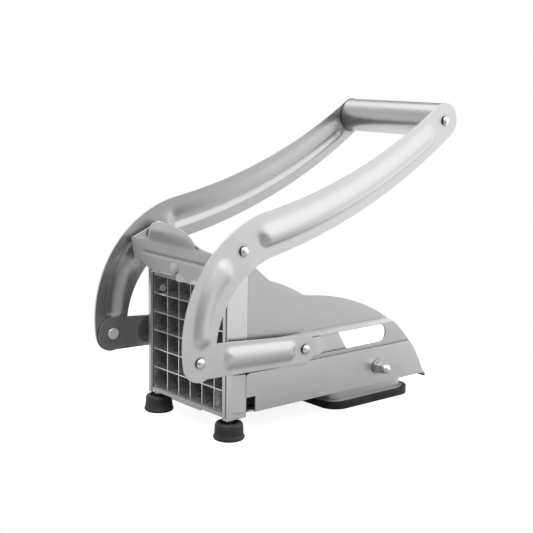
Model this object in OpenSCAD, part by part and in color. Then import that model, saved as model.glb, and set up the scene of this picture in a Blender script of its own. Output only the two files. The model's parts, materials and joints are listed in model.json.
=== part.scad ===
// French fry cutter. A square grid of crossed blades stands in a sheet metal body.
// Two bent arms swing on the body and draw a pegged pusher to the grid through two links.
// X is the width, Y runs from the blades to the back, and Z is up. Lengths are in millimetres.
// The origin is on the table, under the middle of the cutter's length.

/* [Blade grid] */
// Cells along each side of the grid
cells = 6; // [4:1:8]
// Distance from one blade to the next
cell_pitch = 12.7; // [11:0.1:15]
// Thickness of a blade
blade_t = 0.7; // [0.6:0.1:1.2]
// Depth of a blade from front to back
blade_depth = 10; // [8:0.5:12]
// Length of the ground bevel on a blade's back edge
bevel = 1.2; // [0.6:0.1:2]
// Play between a blade and the notch that it sits in
notch_play = 0.1; // [0.05:0.05:0.3]
// Depth of the tabs that hold a blade in its frame
tab_depth = 4; // [2:0.5:6]
// Wall of the blade frame
ring_t = 1.2; // [0.8:0.1:1.8]
// How far the blade frame stands in front of the blades
ring_lead = 2; // [1:0.5:3]
// How far the blade frame stands behind the blades
ring_lag = 0.6; // [0.2:0.2:1.4]
// Height of the turned up lip on top of the blade frame
ring_lip = 1.2; // [0.6:0.2:2]
// Radius of the rivets that close the blade frame
ring_rivet_r = 2.2; // [1.6:0.1:2.2]

/* [Front frame] */
// Sheet of the posts and the sill
post_t = 1.2; // [0.8:0.1:1.6]
// Depth of a post from front to back
post_depth = 15.6; // [15:0.2:18]
// Height of the posts' lower ends
post_foot_z = 12.9; // [11.6:0.1:14]
// How far the posts' lips lap over the blade frame
lip_lap = 0.8; // [0.4:0.1:3]
// Height of the sill's top, where the blade frame stands
sill_z = 16.3; // [16:0.1:18]
// Height of the lip along the sill
sill_lip = 2.6; // [2:0.2:3]
// Width of the tab in the middle of the sill's lip
sill_tab_w = 33; // [20:1:50]
// Extra drop of that tab
sill_tab_drop = 1.2; // [0.5:0.1:2]

/* [Side plates and base] */
// Sheet of the side plates
side_t = 1.2; // [0.8:0.1:1.6]
// Play between the blade frame and each side plate
ring_play = 1.1; // [0.6:0.1:2]
// How far the lower half of a side plate stands out
step_out = 3.4; // [2.8:0.1:4.4]
// Height of the step's upper bend
step_z = 60.6; // [60:0.2:63]
// Height of the slope of the step
step_rise = 2.4; // [1.8:0.2:3]
// Height of a side plate where it meets the post
side_top_z = 112; // [108:0.4:115]
// Length of the straight slope behind the post
side_slope_len = 14.7; // [12:0.1:20]
// Angle of that slope
side_slope_angle = 39.7; // [36:0.1:42]
// Radius of the dip at the foot of the slope
dip_r = 81; // [74:1:88]
// How far the crown's end stands over the middle of the slots
crown_over = 16.5; // [14:0.1:19]
// How far the crown's end stands before the back of the slots
crown_in = 8.1; // [5:0.1:11]
// Radius of the tail at the back
tail_r = 98.5; // [92:0.5:108]
// Sheet of the base's skirts
skirt_t = 1; // [0.6:0.1:1.4]
// Height of the skirts' top edge
skirt_top_z = 42.2; // [39:0.2:44]
// Radius of the skirts' front top corner
skirt_corner_r = 3; // [1:0.5:5]
// How far the skirts lap over the posts
skirt_lap = 2.8; // [1:0.2:5]
// Length of the notch at the skirts' front foot
notch_len = 7.8; // [4:0.2:10]
// Height of that notch
notch_h = 10.4; // [6:0.2:14]
// Thickness of the floor
floor_t = 1.2; // [0.8:0.1:1.2]
// Radius of the rolled lip at the back of the floor
rear_lip_r = 5; // [3:0.5:6]

/* [Arms] */
// Sheet of the arms
arm_t = 1.2; // [1:0.1:1.6]
// Distance of the fulcrum behind the front of the blades
fulcrum_y = 3.7; // [2.5:0.1:5]
// Height of the fulcrum
fulcrum_z = 120.8; // [117:0.2:125]
// Radius of the bent leg's centre line
leg_r = 68.2; // [66:0.1:71]
// Direction of the leg at its lower end
leg_start_angle = 95.6; // [92:0.1:98]
// Angle that the leg bends through
leg_turn_angle = 84.6; // [82:0.1:87]
// Angle of that bend below the fulcrum
fulcrum_turn_angle = 64.5; // [62:0.1:66]
// Radius of the upper arm's centre line
upper_r = 427; // [390:1:460]
// Angle that the upper arm bends back through
upper_turn_angle = 23.3; // [21:0.1:25]
// Radius of an arm's lower end
arm_low_r = 11.9; // [11:0.1:13]
// Half the width of an arm at the elbow
arm_mid_r = 14.6; // [13:0.1:16]
// Radius of an arm's upper end
arm_high_r = 12.4; // [12.2:0.1:14]
// Height of the pressed ribs on the arms
arm_rib_h = 2.6; // [1:0.2:4]
// How far each arm leans in from the fulcrum to the grip
arm_lean = 2.3; // [0:0.1:4]

/* [Grip] */
// Radius of the grip
grip_r = 12; // [10:0.2:12.2]
// Wall of the grip tube
grip_t = 1.2; // [0.8:0.1:2]
// Radius of the rod through the grip
rod_r = 2.5; // [2:0.1:3]

/* [Links] */
// Distance between a link's two pivots
link_len = 86.3; // [84:0.1:90]
// Sheet of the links
link_t = 1.2; // [1:0.1:1.6]
// Radius of a link's front end
link_front_r = 11; // [9:0.2:12]
// Radius of a link's rear end
link_rear_r = 9.2; // [7.5:0.1:9.2]
// Height of the pressed panel on a link
link_rib_h = 1.6; // [0.6:0.1:2]
// Gap between parts that move side by side
side_gap = 0.3; // [0.2:0.05:0.5]

/* [Rivets] */
// Radius of a pivot pin
pin_r = 2.2; // [1.8:0.1:2.8]
// Radius of the fulcrum pins
fulcrum_pin_r = 2.5; // [2:0.1:2.9]
// Running clearance round a pin
run_play = 0.05; // [0.02:0.01:0.1]
// Radius of a rivet head
head_r = 3.3; // [3:0.1:4]
// Height of a rivet head
head_h = 1.5; // [1:0.1:2.2]
// Thickness of a rivet's closed tail
tail_t = 0.8; // [0.4:0.1:1.2]

/* [Pusher] */
// Height of the pusher's slots above the table
slot_z = 51.3; // [50.5:0.1:51.8]
// Height of a slot
slot_h = 12.4; // [11:0.1:13]
// Length of a sliding block
block_len = 37.6; // [34:0.2:40]
// Play of a block in its slot
block_play = 0.15; // [0.1:0.05:0.3]
// Gap between a peg and the blades round it
peg_gap = 0.6; // [0.4:0.05:0.9]
// Length of the pegs
peg_len = 12; // [11.6:0.2:13]
// Distance from the blades' front to the pegs at rest
peg_rest = 14; // [13.6:0.1:16]
// Chamfer round a peg's tip
peg_chamfer = 1.4; // [0.5:0.1:2.5]
// Thickness of the pusher's plate
head_plate_t = 5; // [3:0.5:7]
// Sheet of the pusher's carriage
carriage_t = 1.2; // [0.8:0.1:1.6]
// How far the raised handle leans from its rest
raise_angle = 47; // [40:1:47]
// How far the pressed handle drops from its rest
press_angle = 10; // [4:1:10]
// Clearance left at each end of a slot
slot_spare = 0.5; // [0.3:0.1:1.5]

/* [Blade clamp] */
// Sheet of the blade clamp
clamp_t = 1.2; // [0.8:0.1:1.6]
// Forward lean of the clamp's plate
clamp_lean_angle = 10.1; // [8:0.2:12]
// Height of the clamp's ears above the table
ear_z = 119.6; // [118:0.2:122]
// Height of an ear
ear_h = 14.4; // [12:0.2:16]
// Distance of the ears' top in front of the posts
ear_out = 10.9; // [10:0.1:13]
// Half the width of the clamp's lower edge
clamp_foot_w = 29.5; // [24:0.5:34]
// Half the width of the thumb tongue
tongue_w = 24.6; // [18:0.2:26]
// Radius of the tongue's forward curl
curl_r = 18.4; // [16:0.2:22]
// Width of the pressing tab at the clamp's foot
press_tab_w = 17; // [10:0.5:24]

/* [Feet] */
// Height of the front feet
foot_h = 10.9; // [9:0.1:11.4]
// Radius of a front foot's rim
foot_r = 10; // [9:0.1:12]
// Distance of a front foot's middle inside the posts' outer faces
foot_inset = 4.5; // [4.4:0.1:6]
// Distance of a front foot's middle behind the posts' front
foot_set = 5.5; // [5.2:0.1:8]
// Radius of the front feet's screws
foot_screw_r = 2; // [1.5:0.1:2.4]
// Radius of the nuts that hold them under the sill
foot_nut_r = 3.1; // [2.6:0.1:3.1]
// Half the width of the rear pad
pad_w = 38; // [30:0.5:42]
// Length of the rear pad
pad_len = 79; // [70:0.5:84]
// Distance of the rear pad's back inside the body's back
pad_in = 1.2; // [0.6:0.1:4]
// Thickness of the rear pad
pad_h = 5.6; // [5:0.2:8]
// Corner radius of the rear pad
pad_corner_r = 12; // [8:0.5:16]
// Sheet of the rear foot's pan
pan_t = 1.2; // [0.8:0.1:1.6]
// How far the pan's sides stand inside the pad's
pan_side_in = 2.6; // [2:0.2:4]
// How far the pan's front stands behind the pad's
pan_front_in = 1.3; // [0.6:0.1:3]
// How far the pan's back stands before the pad's
pan_back_in = 6.3; // [3:0.1:9]
// How far the pan's flange stands out
pan_flange = 2; // [1:0.1:2.4]
// Radius of the two ears that hang the pan on the cross bolt
ear_r = 7; // [5:0.2:8]
// Distance of the cross bolt before the body's back
bolt_in = 47.1; // [43:0.1:51]
// Height of the cross bolt
bolt_z = 28.3; // [27:0.1:28.6]
// Radius of the cross bolt
bolt_r = 2.5; // [2:0.1:3]
// Radius of the cross bolt's washers
washer_r = 4.9; // [4.7:0.1:6]
// Thickness of a washer
washer_t = 1.5; // [0.8:0.1:2]
// Width of the cap nuts across their flats
nut_flats = 8; // [7:0.1:9]
// Length of a cap nut
nut_len = 10; // [8:0.2:12]

/* [Hidden] */

// One overrun serves every cut, and one fine count every round piece
cut = 1;
fine = 64;
// Half sizes and places across the width, from the blades outwards
grid_half = cells * cell_pitch / 2;
ring_x = grid_half + ring_t;
lip_x = ring_x - lip_lap;
side_x = ring_x + ring_play;
web_x = side_x + side_t;
post_x = web_x + post_t;
wide_x = side_x + step_out;
skirt_x = wide_x + side_t;
base_x = skirt_x + skirt_t;
link_x = base_x + side_gap;
arm_x = link_x + link_t + side_gap;
arm_out = arm_x + arm_t;
grip_x = arm_x - arm_lean;
grip_out = grip_x + arm_t;
cheek_gap = 0.9;
cheek_x = post_x + cheek_gap;
cheek_out = cheek_x + clamp_t;
bush_x = cheek_out + side_gap;
head_gap = 0.2;

// Places along the length and the height
ring_y = -ring_lead;
lip_gap = 0.1;
post_y = ring_y - lip_gap - post_t;
post_back = post_y + post_depth;
ring_back = blade_depth + ring_lag;
grid_z = sill_z + ring_t + grid_half;
ring_top = grid_z + ring_x;
floor_z = sill_z + floor_t;

// Centre line of an arm: a bent leg, then a long upper arm that bends back
function dir(a) = [cos(a), sin(a)];
function left_of(a) = [-sin(a), cos(a)];
function arc_len(r, a) = r * a * PI / 180;
function arc_turn(r, s) = s / r * 180 / PI;
fulcrum = [fulcrum_y, fulcrum_z];
leg_centre = fulcrum - leg_r * left_of(leg_start_angle - fulcrum_turn_angle);
low_pivot = leg_centre + leg_r * left_of(leg_start_angle);
leg_len = arc_len(leg_r, leg_turn_angle);
elbow_dir = leg_start_angle - leg_turn_angle;
elbow = leg_centre + leg_r * left_of(elbow_dir);
upper_centre = elbow + upper_r * left_of(elbow_dir);
grip_dir = elbow_dir + upper_turn_angle;
grip = upper_centre - upper_r * left_of(grip_dir);
arm_len = leg_len + arc_len(upper_r, upper_turn_angle);
fulcrum_s = arc_len(leg_r, fulcrum_turn_angle);

function arm_dir(s) = s < 0 ? leg_start_angle
    : s < leg_len ? leg_start_angle - arc_turn(leg_r, s)
    : s < arm_len ? elbow_dir + arc_turn(upper_r, s - leg_len)
    : grip_dir;
function arm_at(s) = s < 0 ? low_pivot + s * dir(leg_start_angle)
    : s < leg_len ? leg_centre + leg_r * left_of(arm_dir(s))
    : s < arm_len ? upper_centre - upper_r * left_of(arm_dir(s))
    : grip + (s - arm_len) * dir(grip_dir);
function arm_half(s) = s < 0 ? sqrt(pow(arm_low_r, 2) - s * s)
    : s < fulcrum_s ? arm_low_r + (arm_mid_r - arm_low_r) * sin(90 * s / fulcrum_s)
    : s < arm_len ? arm_mid_r + (arm_high_r - arm_mid_r) * (s - fulcrum_s) / (arm_len - fulcrum_s)
    : sqrt(pow(arm_high_r, 2) - pow(s - arm_len, 2));

// Pressed ribs: each is a dome-ended ridge, given by its start, end and half width at each end
leg_rib = [0.14 * fulcrum_s, 0.83 * fulcrum_s, 0.34 * arm_low_r, 0.55 * arm_mid_r];
upper_len = arm_len - fulcrum_s;
upper_rib = [fulcrum_s + 0.065 * upper_len, arm_len - 0.055 * upper_len, 0.62 * arm_mid_r,
    0.5 * arm_high_r];
function rib_half(rib, s) = rib[2] + (rib[3] - rib[2])
    * min(1, max(0, (s - rib[0]) / (rib[1] - rib[0])));
function rib_over(rib, s) = max(0, rib[0] + rib[2] - s, s - rib[1] + rib[3]);
function rib_lift(rib, s, t) = max(0, 1 - pow(t / rib_half(rib, s), 2)
    - pow(rib_over(rib, s) / (s < rib[1] - rib[3] ? rib[2] : rib[3]), 2));
function arm_rib(s) = s < fulcrum_s ? leg_rib : upper_rib;
function arm_lean_at(s) = arm_lean * sin(90 * min(1, max(0, (s - fulcrum_s) / upper_len)));

// Rows of points over an arm: [y, z, lift] across its width, one row for each station
cap_angles = [10, 26, 44, 64];
across_shares = [-1, -0.7, -0.35, 0, 0.35, 0.7, 1];
arm_steps = 52;
arm_stations = concat(
    [for (a = cap_angles) -arm_low_r * cos(a)],
    [for (i = [0:arm_steps]) arm_len * i / arm_steps],
    [for (a = cap_angles) arm_len + arm_high_r * cos(cap_angles[len(cap_angles) - 1] - a + cap_angles[0])]);
function rib_line(rib, s, half) = min(0.8 * half, rib_half(rib, s));
function arm_row(s) = let (half = arm_half(s), mid = arm_at(s), n = left_of(arm_dir(s)),
        rib = arm_rib(s), w = rib_line(rib, s, half),
        ts = concat([-half], [for (k = across_shares) k * w], [half]))
    [for (t = ts) [mid[0] + t * n[0], mid[1] + t * n[1], arm_rib_h * rib_lift(rib, s, t) - arm_lean_at(s)]];
arm_rows = [for (s = arm_stations) arm_row(s)];

// The middle of the whole length, which the origin stands under
arm_ys = [for (row = arm_rows) for (p = row) p[0]];
mid_y = (min(arm_ys) + max(arm_ys)) / 2;

// The linkage: where the link's rear pivot lies when the arms have swung by an angle
function turned(p, a) = [p[0] * cos(a) - p[1] * sin(a), p[0] * sin(a) + p[1] * cos(a)];
function low_pivot_at(a) = fulcrum + turned(low_pivot - fulcrum, a);
function slide_y(a) = let (p = low_pivot_at(a))
    p[0] + sqrt(pow(link_len, 2) - pow(p[1] - slot_z, 2));
rear_pivot = [slide_y(0), slot_z];
link_angle = asin((slot_z - low_pivot[1]) / link_len);
raise_travel = slide_y(raise_angle) - rear_pivot[0];
press_travel = rear_pivot[0] - slide_y(-press_angle);
travel_spare = 0.9;

// Pusher places
peg_y = peg_rest;
plate_y = peg_y + peg_len;
carriage_y = plate_y + head_plate_t;
plate_half = grid_half - blade_t / 2 - peg_gap / 2;
peg_half = cell_pitch / 2 - blade_t / 2 - peg_gap;
block_half = slot_h / 2 - block_play;
slot_front = rear_pivot[0] - block_len / 2 - press_travel - travel_spare - slot_spare;
slot_back = rear_pivot[0] + block_len / 2 + raise_travel + slot_spare;
rail_gap = 0.5;
rail_x = wide_x - rail_gap;
rail_foot = 4;

// Side profile of the body, drawn as a slope, a dip, a crown and a tail
slope_set = 2.2;
slope_start = [post_back + slope_set, side_top_z];
slope_end = slope_start + side_slope_len * dir(-side_slope_angle);
dip_angle = 33.9;
dip_centre = slope_end + dip_r * left_of(-side_slope_angle);
dip_dir = dip_angle - side_slope_angle;
crown_start = dip_centre - dip_r * left_of(dip_dir);
crown_end = [slot_back - crown_in, slot_z + crown_over];
crown_chord = norm(crown_end - crown_start);
crown_r = pow(crown_chord, 2) / (2 * (crown_start - crown_end) * left_of(dip_dir));
crown_centre = crown_start - crown_r * left_of(dip_dir);
crown_dir = dip_dir - 2 * asin(crown_chord / (2 * crown_r));
tail_centre = crown_end - tail_r * left_of(crown_dir);
tail_dir = -acos((floor_z - tail_centre[1]) / tail_r);
profile_steps = 14;
function sweep(centre, r, a0, a1) = [for (i = [0:profile_steps])
    centre + r * left_of(a0 + (a1 - a0) * i / profile_steps)];
back_profile = concat([slope_start],
    sweep(dip_centre, -dip_r, -side_slope_angle, dip_dir),
    sweep(crown_centre, crown_r, dip_dir, crown_dir),
    sweep(tail_centre, tail_r, crown_dir, tail_dir));
tail_end = back_profile[len(back_profile) - 1];
side_foot_z = 33;

// Feet and floor places
pad_y = tail_end[0] - pad_in - pad_len;
bolt_y = tail_end[0] - bolt_in;
pan_x = pad_w - pan_side_in;
pan_y = pad_y + pan_front_in;
pan_back = pad_y + pad_len - pan_back_in;
pan_corner_r = pad_corner_r - pan_side_in + 0.5 * pan_t;
pan_ear_x = pan_x - 1.5 * pan_t;
ear_slot_gap = 0.3;
foot_y = post_y + foot_set;
foot_x = post_x - foot_inset;
floor_y = post_back + lip_gap;
notch_y = post_back - skirt_lap;
rear_set = 0.6;
rear_edge = tail_end[0] + rear_set;
lip_half = skirt_x - side_t;

// Stands the body in the shared frame
module placed() { translate([0, -mid_y, 0]) children(); }
// Adds the same piece on the other side
module both() {
    children();
    mirror([1, 0, 0]) children();
}
// A [y, z] outline as a plate from x, t thick
module plate_yz(x, t) { translate([x, 0, 0]) rotate([90, 0, 90]) linear_extrude(t) children(); }
// An [x, z] outline as a plate from y, t thick
module plate_xz(y, t) { translate([0, y + t, 0]) rotate([90, 0, 0]) linear_extrude(t) children(); }
// A rod along X from x0 to x1 at p = [y, z]
module rod_x(p, x0, x1, r) {
    translate([x0, p[0], p[1]]) rotate([0, 90, 0]) cylinder(h = x1 - x0, r = r, $fn = fine);
}
// A turned piece along X at p: its profile holds [radius, x] points
module turned_x(p, profile) {
    translate([0, p[0], p[1]]) rotate([0, 90, 0]) rotate_extrude($fn = fine) polygon(profile);
}
// The round of a rivet's head on x
dome_steps = 6;
head_ball = (head_r * head_r + head_h * head_h) / (2 * head_h);
function dome(x) = [for (i = [0:dome_steps]) let (a = asin(head_r / head_ball) * (1 - i / dome_steps))
    [head_ball * sin(a), x + head_h + head_ball * (cos(a) - 1)]];
// A rivet from x0 to its head on x1, with a closed tail where tail_r is more than the shank's r
module rivet_x(p, x0, x1, r, tail_r) {
    turned_x(p, concat([[0, x0], [tail_r, x0], [tail_r, x0 + tail_t], [r, x0 + tail_t], [r, x1]], dome(x1)));
}
// A rounded rectangle from a low corner
module round_rect(low, size, r) {
    translate(low + [r, 0]) square([size[0] - 2 * r, size[1]]);
    translate(low + [0, r]) square([size[0], size[1] - 2 * r]);
    for (x = [r, size[0] - r]) for (y = [r, size[1] - r]) translate(low + [x, y]) circle(r, $fn = fine);
}
// A sheet that is pressed out of the plane x = 0: rows of [y, z, lift] points, t thick
module pressed(rows, t) {
    n = len(rows);
    m = len(rows[0]);
    function id(side, i, j) = (side * n + i) * m + j;
    points = [for (side = [0, 1]) for (row = rows) for (p = row) [p[2] + side * t, p[0], p[1]]];
    skin = [for (i = [0:n - 2]) for (j = [0:m - 2]) each [
        [id(1, i, j), id(1, i + 1, j), id(1, i + 1, j + 1)],
        [id(1, i, j), id(1, i + 1, j + 1), id(1, i, j + 1)],
        [id(0, i, j), id(0, i + 1, j + 1), id(0, i + 1, j)],
        [id(0, i, j), id(0, i, j + 1), id(0, i + 1, j + 1)]]];
    edges = [for (i = [0:n - 2]) each [
        [id(0, i, 0), id(0, i + 1, 0), id(1, i + 1, 0)],
        [id(0, i, 0), id(1, i + 1, 0), id(1, i, 0)],
        [id(0, i, m - 1), id(1, i + 1, m - 1), id(0, i + 1, m - 1)],
        [id(0, i, m - 1), id(1, i, m - 1), id(1, i + 1, m - 1)]]];
    ends = [for (j = [0:m - 2]) each [
        [id(0, 0, j), id(1, 0, j), id(1, 0, j + 1)],
        [id(0, 0, j), id(1, 0, j + 1), id(0, 0, j + 1)],
        [id(0, n - 1, j), id(1, n - 1, j + 1), id(1, n - 1, j)],
        [id(0, n - 1, j), id(0, n - 1, j + 1), id(1, n - 1, j + 1)]]];
    polyhedron(points, concat(skin, edges, ends), convexity = 6);
}
// Where the line from a point touches a circle, as the angle of that point on the circle
function touch(from, centre, r, side) = let (d = from - centre) atan2(d[1], d[0]) + side * acos(r / norm(d));
// An outline from two points that runs round a circle
lug_steps = 16;
module tapered_lug(low, high, centre, r) {
    a0 = touch(low, centre, r, 1) - 360;
    a1 = touch(high, centre, r, -1);
    polygon(concat([high, low], [for (i = [0:lug_steps])
        centre + r * dir(a0 + (a1 - a0) * i / lug_steps)]));
}

module post_right() {
    round_r = post_depth / 2;
    color("silver") placed() difference() {
        union() {
            plate_yz(web_x, post_t) {
                translate([post_y, post_foot_z]) square([post_depth, fulcrum_z - post_foot_z]);
                translate([post_y + round_r, fulcrum_z]) circle(round_r, $fn = fine);
            }
            translate([lip_x, post_y, post_foot_z])
                cube([post_x - lip_x, post_t, ring_top + ring_lip - post_foot_z]);
        }
        rod_x(fulcrum, web_x - cut, post_x + cut, fulcrum_pin_r + run_play);
    }
}
module post_left() { mirror([1, 0, 0]) post_right(); }

// The sill's front lip, with the deeper tab in its middle
module sill_lip_outline() {
    half = lip_x - lip_gap;
    top = sill_z + 0.75 * ring_t;
    foot = top - sill_lip;
    tab = sill_tab_w / 2;
    polygon([[-half, foot], [-tab, foot], [sill_tab_drop - tab, foot - sill_tab_drop],
        [tab - sill_tab_drop, foot - sill_tab_drop], [tab, foot], [half, foot], [half, top], [-half, top]]);
}
module front_sill() {
    color("silver") placed() difference() {
        union() {
            translate([-web_x, post_y + post_t, sill_z - post_t])
                cube([2 * web_x, post_depth - post_t, post_t]);
            plate_xz(post_y, post_t) sill_lip_outline();
        }
        both() translate([foot_x, foot_y, sill_z - post_t - cut])
            cylinder(h = post_t + 2 * cut, r = foot_screw_r + run_play, $fn = fine);
    }
}

// Places of the blades, and the slots for their tabs
blade_at = [for (i = [1:cells - 1]) i * cell_pitch - grid_half];
tab_y = (blade_depth - tab_depth) / 2;
module tab_slots() {
    for (x = blade_at) translate([x - blade_t / 2 - notch_play, tab_y - notch_play, -ring_x - cut])
        cube([blade_t + 2 * notch_play, tab_depth + 2 * notch_play, 2 * (ring_x + cut)]);
}
// The laps in the blade frame's sides, where a rivet closes each
lap_half = 0.18 * cell_pitch;
lap_z = grid_z + (cells / 2 - 1) * cell_pitch + blade_t / 2 + side_gap + lap_half;
lap_t = 0.6;
module blade_frame() {
    depth = ring_back - ring_y;
    color("gainsboro") placed() difference() {
        union() {
            difference() {
                translate([-ring_x, ring_y, grid_z - ring_x]) cube([2 * ring_x, depth, 2 * ring_x]);
                translate([-grid_half, ring_y - cut, grid_z - grid_half])
                    cube([2 * grid_half, depth + 2 * cut, 2 * grid_half]);
            }
            translate([-ring_x, ring_y, ring_top]) cube([2 * ring_x, ring_t, ring_lip]);
            both() translate([-grid_half, ring_y, lap_z - lap_half]) cube([lap_t, depth, 2 * lap_half]);
        }
        translate([0, 0, grid_z]) {
            tab_slots();
            rotate([0, 90, 0]) tab_slots();
        }
        both() rod_x([blade_depth / 2, lap_z], -ring_x - cut, lap_t - grid_half + cut, ring_rivet_r / 2 + run_play);
    }
}
module frame_rivets() {
    centre = [blade_depth / 2, lap_z];
    inside = lap_t - grid_half;
    color("silver") placed() both() {
        rod_x(centre, -ring_x, inside, ring_rivet_r / 2);
        difference() {
            rod_x(centre, inside, inside + head_h / 2, ring_rivet_r);
            rod_x(centre, inside + head_h / 8, inside + cut + head_h, ring_rivet_r / 2);
        }
    }
}

// One upright blade in the middle of the grid, ground on its back edge and notched half through
module blade(notch_from) {
    edge = blade_t / 8;
    half = blade_t / 2;
    notch = half + notch_play;
    difference() {
        union() {
            translate([0, 0, -grid_half]) linear_extrude(2 * grid_half) polygon([[-half, 0], [half, 0],
                [half, blade_depth - bevel], [edge, blade_depth], [-edge, blade_depth],
                [-half, blade_depth - bevel]]);
            translate([-half, tab_y, -ring_x]) cube([blade_t, tab_depth, 2 * ring_x]);
        }
        for (z = blade_at) translate([-half - cut, notch_from, z - notch])
            cube([blade_t + 2 * cut, blade_depth / 2 + notch_play / 2 + cut, 2 * notch]);
    }
}
module blades_upright() {
    color("gainsboro") placed() for (x = blade_at) translate([x, 0, grid_z])
        blade(blade_depth / 2 - notch_play / 2);
}
module blades_level() {
    color("gainsboro") placed() for (z = blade_at) translate([0, 0, grid_z + z]) rotate([0, 90, 0])
        blade(-cut);
}

// The side plate's section: a wall, a step outwards and a lower wall
module side_section() {
    drop = side_t * tan(atan2(step_out, step_rise) / 2);
    polygon([[side_x, side_top_z + cut], [side_x, step_z - drop], [wide_x, step_z - step_rise - drop],
        [wide_x, side_foot_z], [skirt_x, side_foot_z], [skirt_x, step_z - step_rise],
        [web_x, step_z], [web_x, side_top_z + cut]]);
}
module slot_outline() {
    r = slot_h / 2;
    for (y = [slot_front + r, slot_back - r]) translate([y, slot_z]) circle(r, $fn = fine);
    translate([slot_front + r, slot_z - r]) square([slot_back - slot_front - slot_h, slot_h]);
}
module side_plate_right() {
    color("silver") placed() difference() {
        intersection() {
            plate_xz(ring_y, tail_end[0] - ring_y) side_section();
            plate_yz(0, base_x) polygon(concat([[ring_y, step_z], [ring_y, side_top_z]], back_profile,
                [[floor_y, floor_z], [floor_y, step_z]]));
        }
        plate_yz(wide_x - cut, side_t + 2 * cut) slot_outline();
        rod_x(fulcrum, side_x - cut, web_x + cut, fulcrum_pin_r + 3 * tail_t);
    }
}
module side_plate_left() { mirror([1, 0, 0]) side_plate_right(); }

// The base's side: notched at its front foot, rounded above, cut to the body's profile behind
module skirt_outline() {
    front = notch_y;
    r = skirt_corner_r;
    intersection() {
        union() {
            translate([front, sill_z + notch_h]) square([r, skirt_top_z - r - sill_z - notch_h]);
            translate([front + r, skirt_top_z - r]) circle(r, $fn = fine);
            translate([front + r, sill_z + notch_h])
                square([tail_end[0] - front, skirt_top_z - sill_z - notch_h]);
            translate([front + notch_len, sill_z]) square([tail_end[0] - front, skirt_top_z - sill_z]);
        }
        polygon(concat([[front - cut, sill_z - cut], [front - cut, side_top_z]], back_profile,
            [[tail_end[0], sill_z - cut]]));
    }
}
// The floor from above, with its tongue on the sill and its slots for the pan's ears
module floor_outline() {
    tongue_x = side_x - lip_gap;
    tongue_y = ring_back + lip_gap;
    difference() {
        union() {
            translate([-tongue_x, tongue_y]) square([2 * tongue_x, floor_y - tongue_y]);
            translate([-wide_x, floor_y]) square([2 * wide_x, notch_len + notch_y - floor_y]);
            translate([-base_x, notch_y + notch_len])
                square([2 * base_x, rear_edge - notch_y - notch_len]);
        }
        for (side = [-1, 1]) translate([side * (pan_ear_x + pan_t / 2), bolt_y])
            square([pan_t + 2 * ear_slot_gap, 2 * (ear_r + ear_slot_gap)], center = true);
    }
}
module base_channel() {
    color("silver") placed() difference() {
        union() {
            translate([0, 0, sill_z]) linear_extrude(floor_t) floor_outline();
            both() plate_yz(skirt_x, skirt_t) skirt_outline();
            both() translate([post_x + lip_gap, notch_y, sill_z + notch_h])
                cube([base_x - post_x - lip_gap, skirt_t, skirt_top_z - skirt_corner_r - sill_z - notch_h]);
            intersection() {
                difference() {
                    rod_x([rear_edge, floor_z - rear_lip_r], -lip_half, lip_half, rear_lip_r);
                    rod_x([rear_edge, floor_z - rear_lip_r], -base_x, base_x, rear_lip_r - floor_t);
                }
                translate([-base_x, rear_edge, floor_z - rear_lip_r])
                    cube([2 * base_x, rear_lip_r, rear_lip_r]);
            }
        }
        rod_x([bolt_y, bolt_z], -base_x - cut, base_x + cut, bolt_r + run_play);
    }
}

// A front foot stands on a flared rim, with a recess above for its nut and one below for its screw
foot_dish = 0.15 * foot_h;
foot_seat = 0.3 * foot_h;
module front_foot_right() {
    rim = foot_r;
    color("dimgray") placed() translate([foot_x, foot_y, 0]) rotate_extrude($fn = fine)
        polygon([[2 * foot_screw_r, 0], [0.93 * rim, 0], [rim, 0.09 * foot_h], [rim, 0.16 * foot_h],
            [0.93 * rim, 0.29 * foot_h], [0.91 * rim, 0.55 * foot_h], [0.89 * rim, 0.85 * foot_h],
            [0.82 * rim, 0.97 * foot_h], [0.74 * rim, foot_h], [0.6 * rim, foot_h],
            [0.56 * rim, foot_h - foot_dish], [foot_screw_r + run_play, foot_h - foot_dish],
            [foot_screw_r + run_play, foot_seat], [2 * foot_screw_r, foot_seat]]);
}
module front_foot_left() { mirror([1, 0, 0]) front_foot_right(); }
// A screw comes up through each front foot into a round nut under the sill
module foot_screws() {
    head = 0.15 * foot_h;
    color("silver") placed() both() translate([foot_x, foot_y, foot_seat - head]) {
        cylinder(h = head, r = 1.8 * foot_screw_r, $fn = fine);
        cylinder(h = sill_z - foot_seat + head, r = foot_screw_r, $fn = fine);
    }
}
module foot_nuts() {
    height = sill_z - post_t - foot_h + foot_dish;
    color("silver") placed() both() translate([foot_x, foot_y, foot_h - foot_dish]) difference() {
        cylinder(h = height, r = foot_nut_r, $fn = fine);
        translate([0, 0, -cut]) cylinder(h = height + 2 * cut, r = foot_screw_r + run_play, $fn = fine);
    }
}

module pan_outline(out) {
    r = pan_corner_r + out;
    round_rect([-pan_x - out, pan_y - out], [2 * (pan_x + out), pan_back - pan_y + 2 * out], r);
}
module rear_foot_pan() {
    color("silver") placed() difference() {
        union() {
            translate([0, 0, pad_h]) {
                linear_extrude(sill_z - pad_h) pan_outline(0);
                linear_extrude(pan_t) pan_outline(pan_flange);
            }
            both() plate_yz(pan_ear_x, pan_t) {
                translate([bolt_y - ear_r, sill_z - pan_t]) square([2 * ear_r, bolt_z - sill_z + pan_t]);
                translate([bolt_y, bolt_z]) circle(ear_r, $fn = fine);
            }
        }
        translate([0, 0, pad_h - cut]) linear_extrude(sill_z - pad_h - pan_t + cut) pan_outline(-pan_t);
        rod_x([bolt_y, bolt_z], -pan_x, pan_x, bolt_r + run_play);
    }
}
module rear_pad() {
    color("dimgray") placed() linear_extrude(pad_h)
        round_rect([-pad_w, pad_y], [2 * pad_w, pad_len], pad_corner_r);
}

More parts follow.
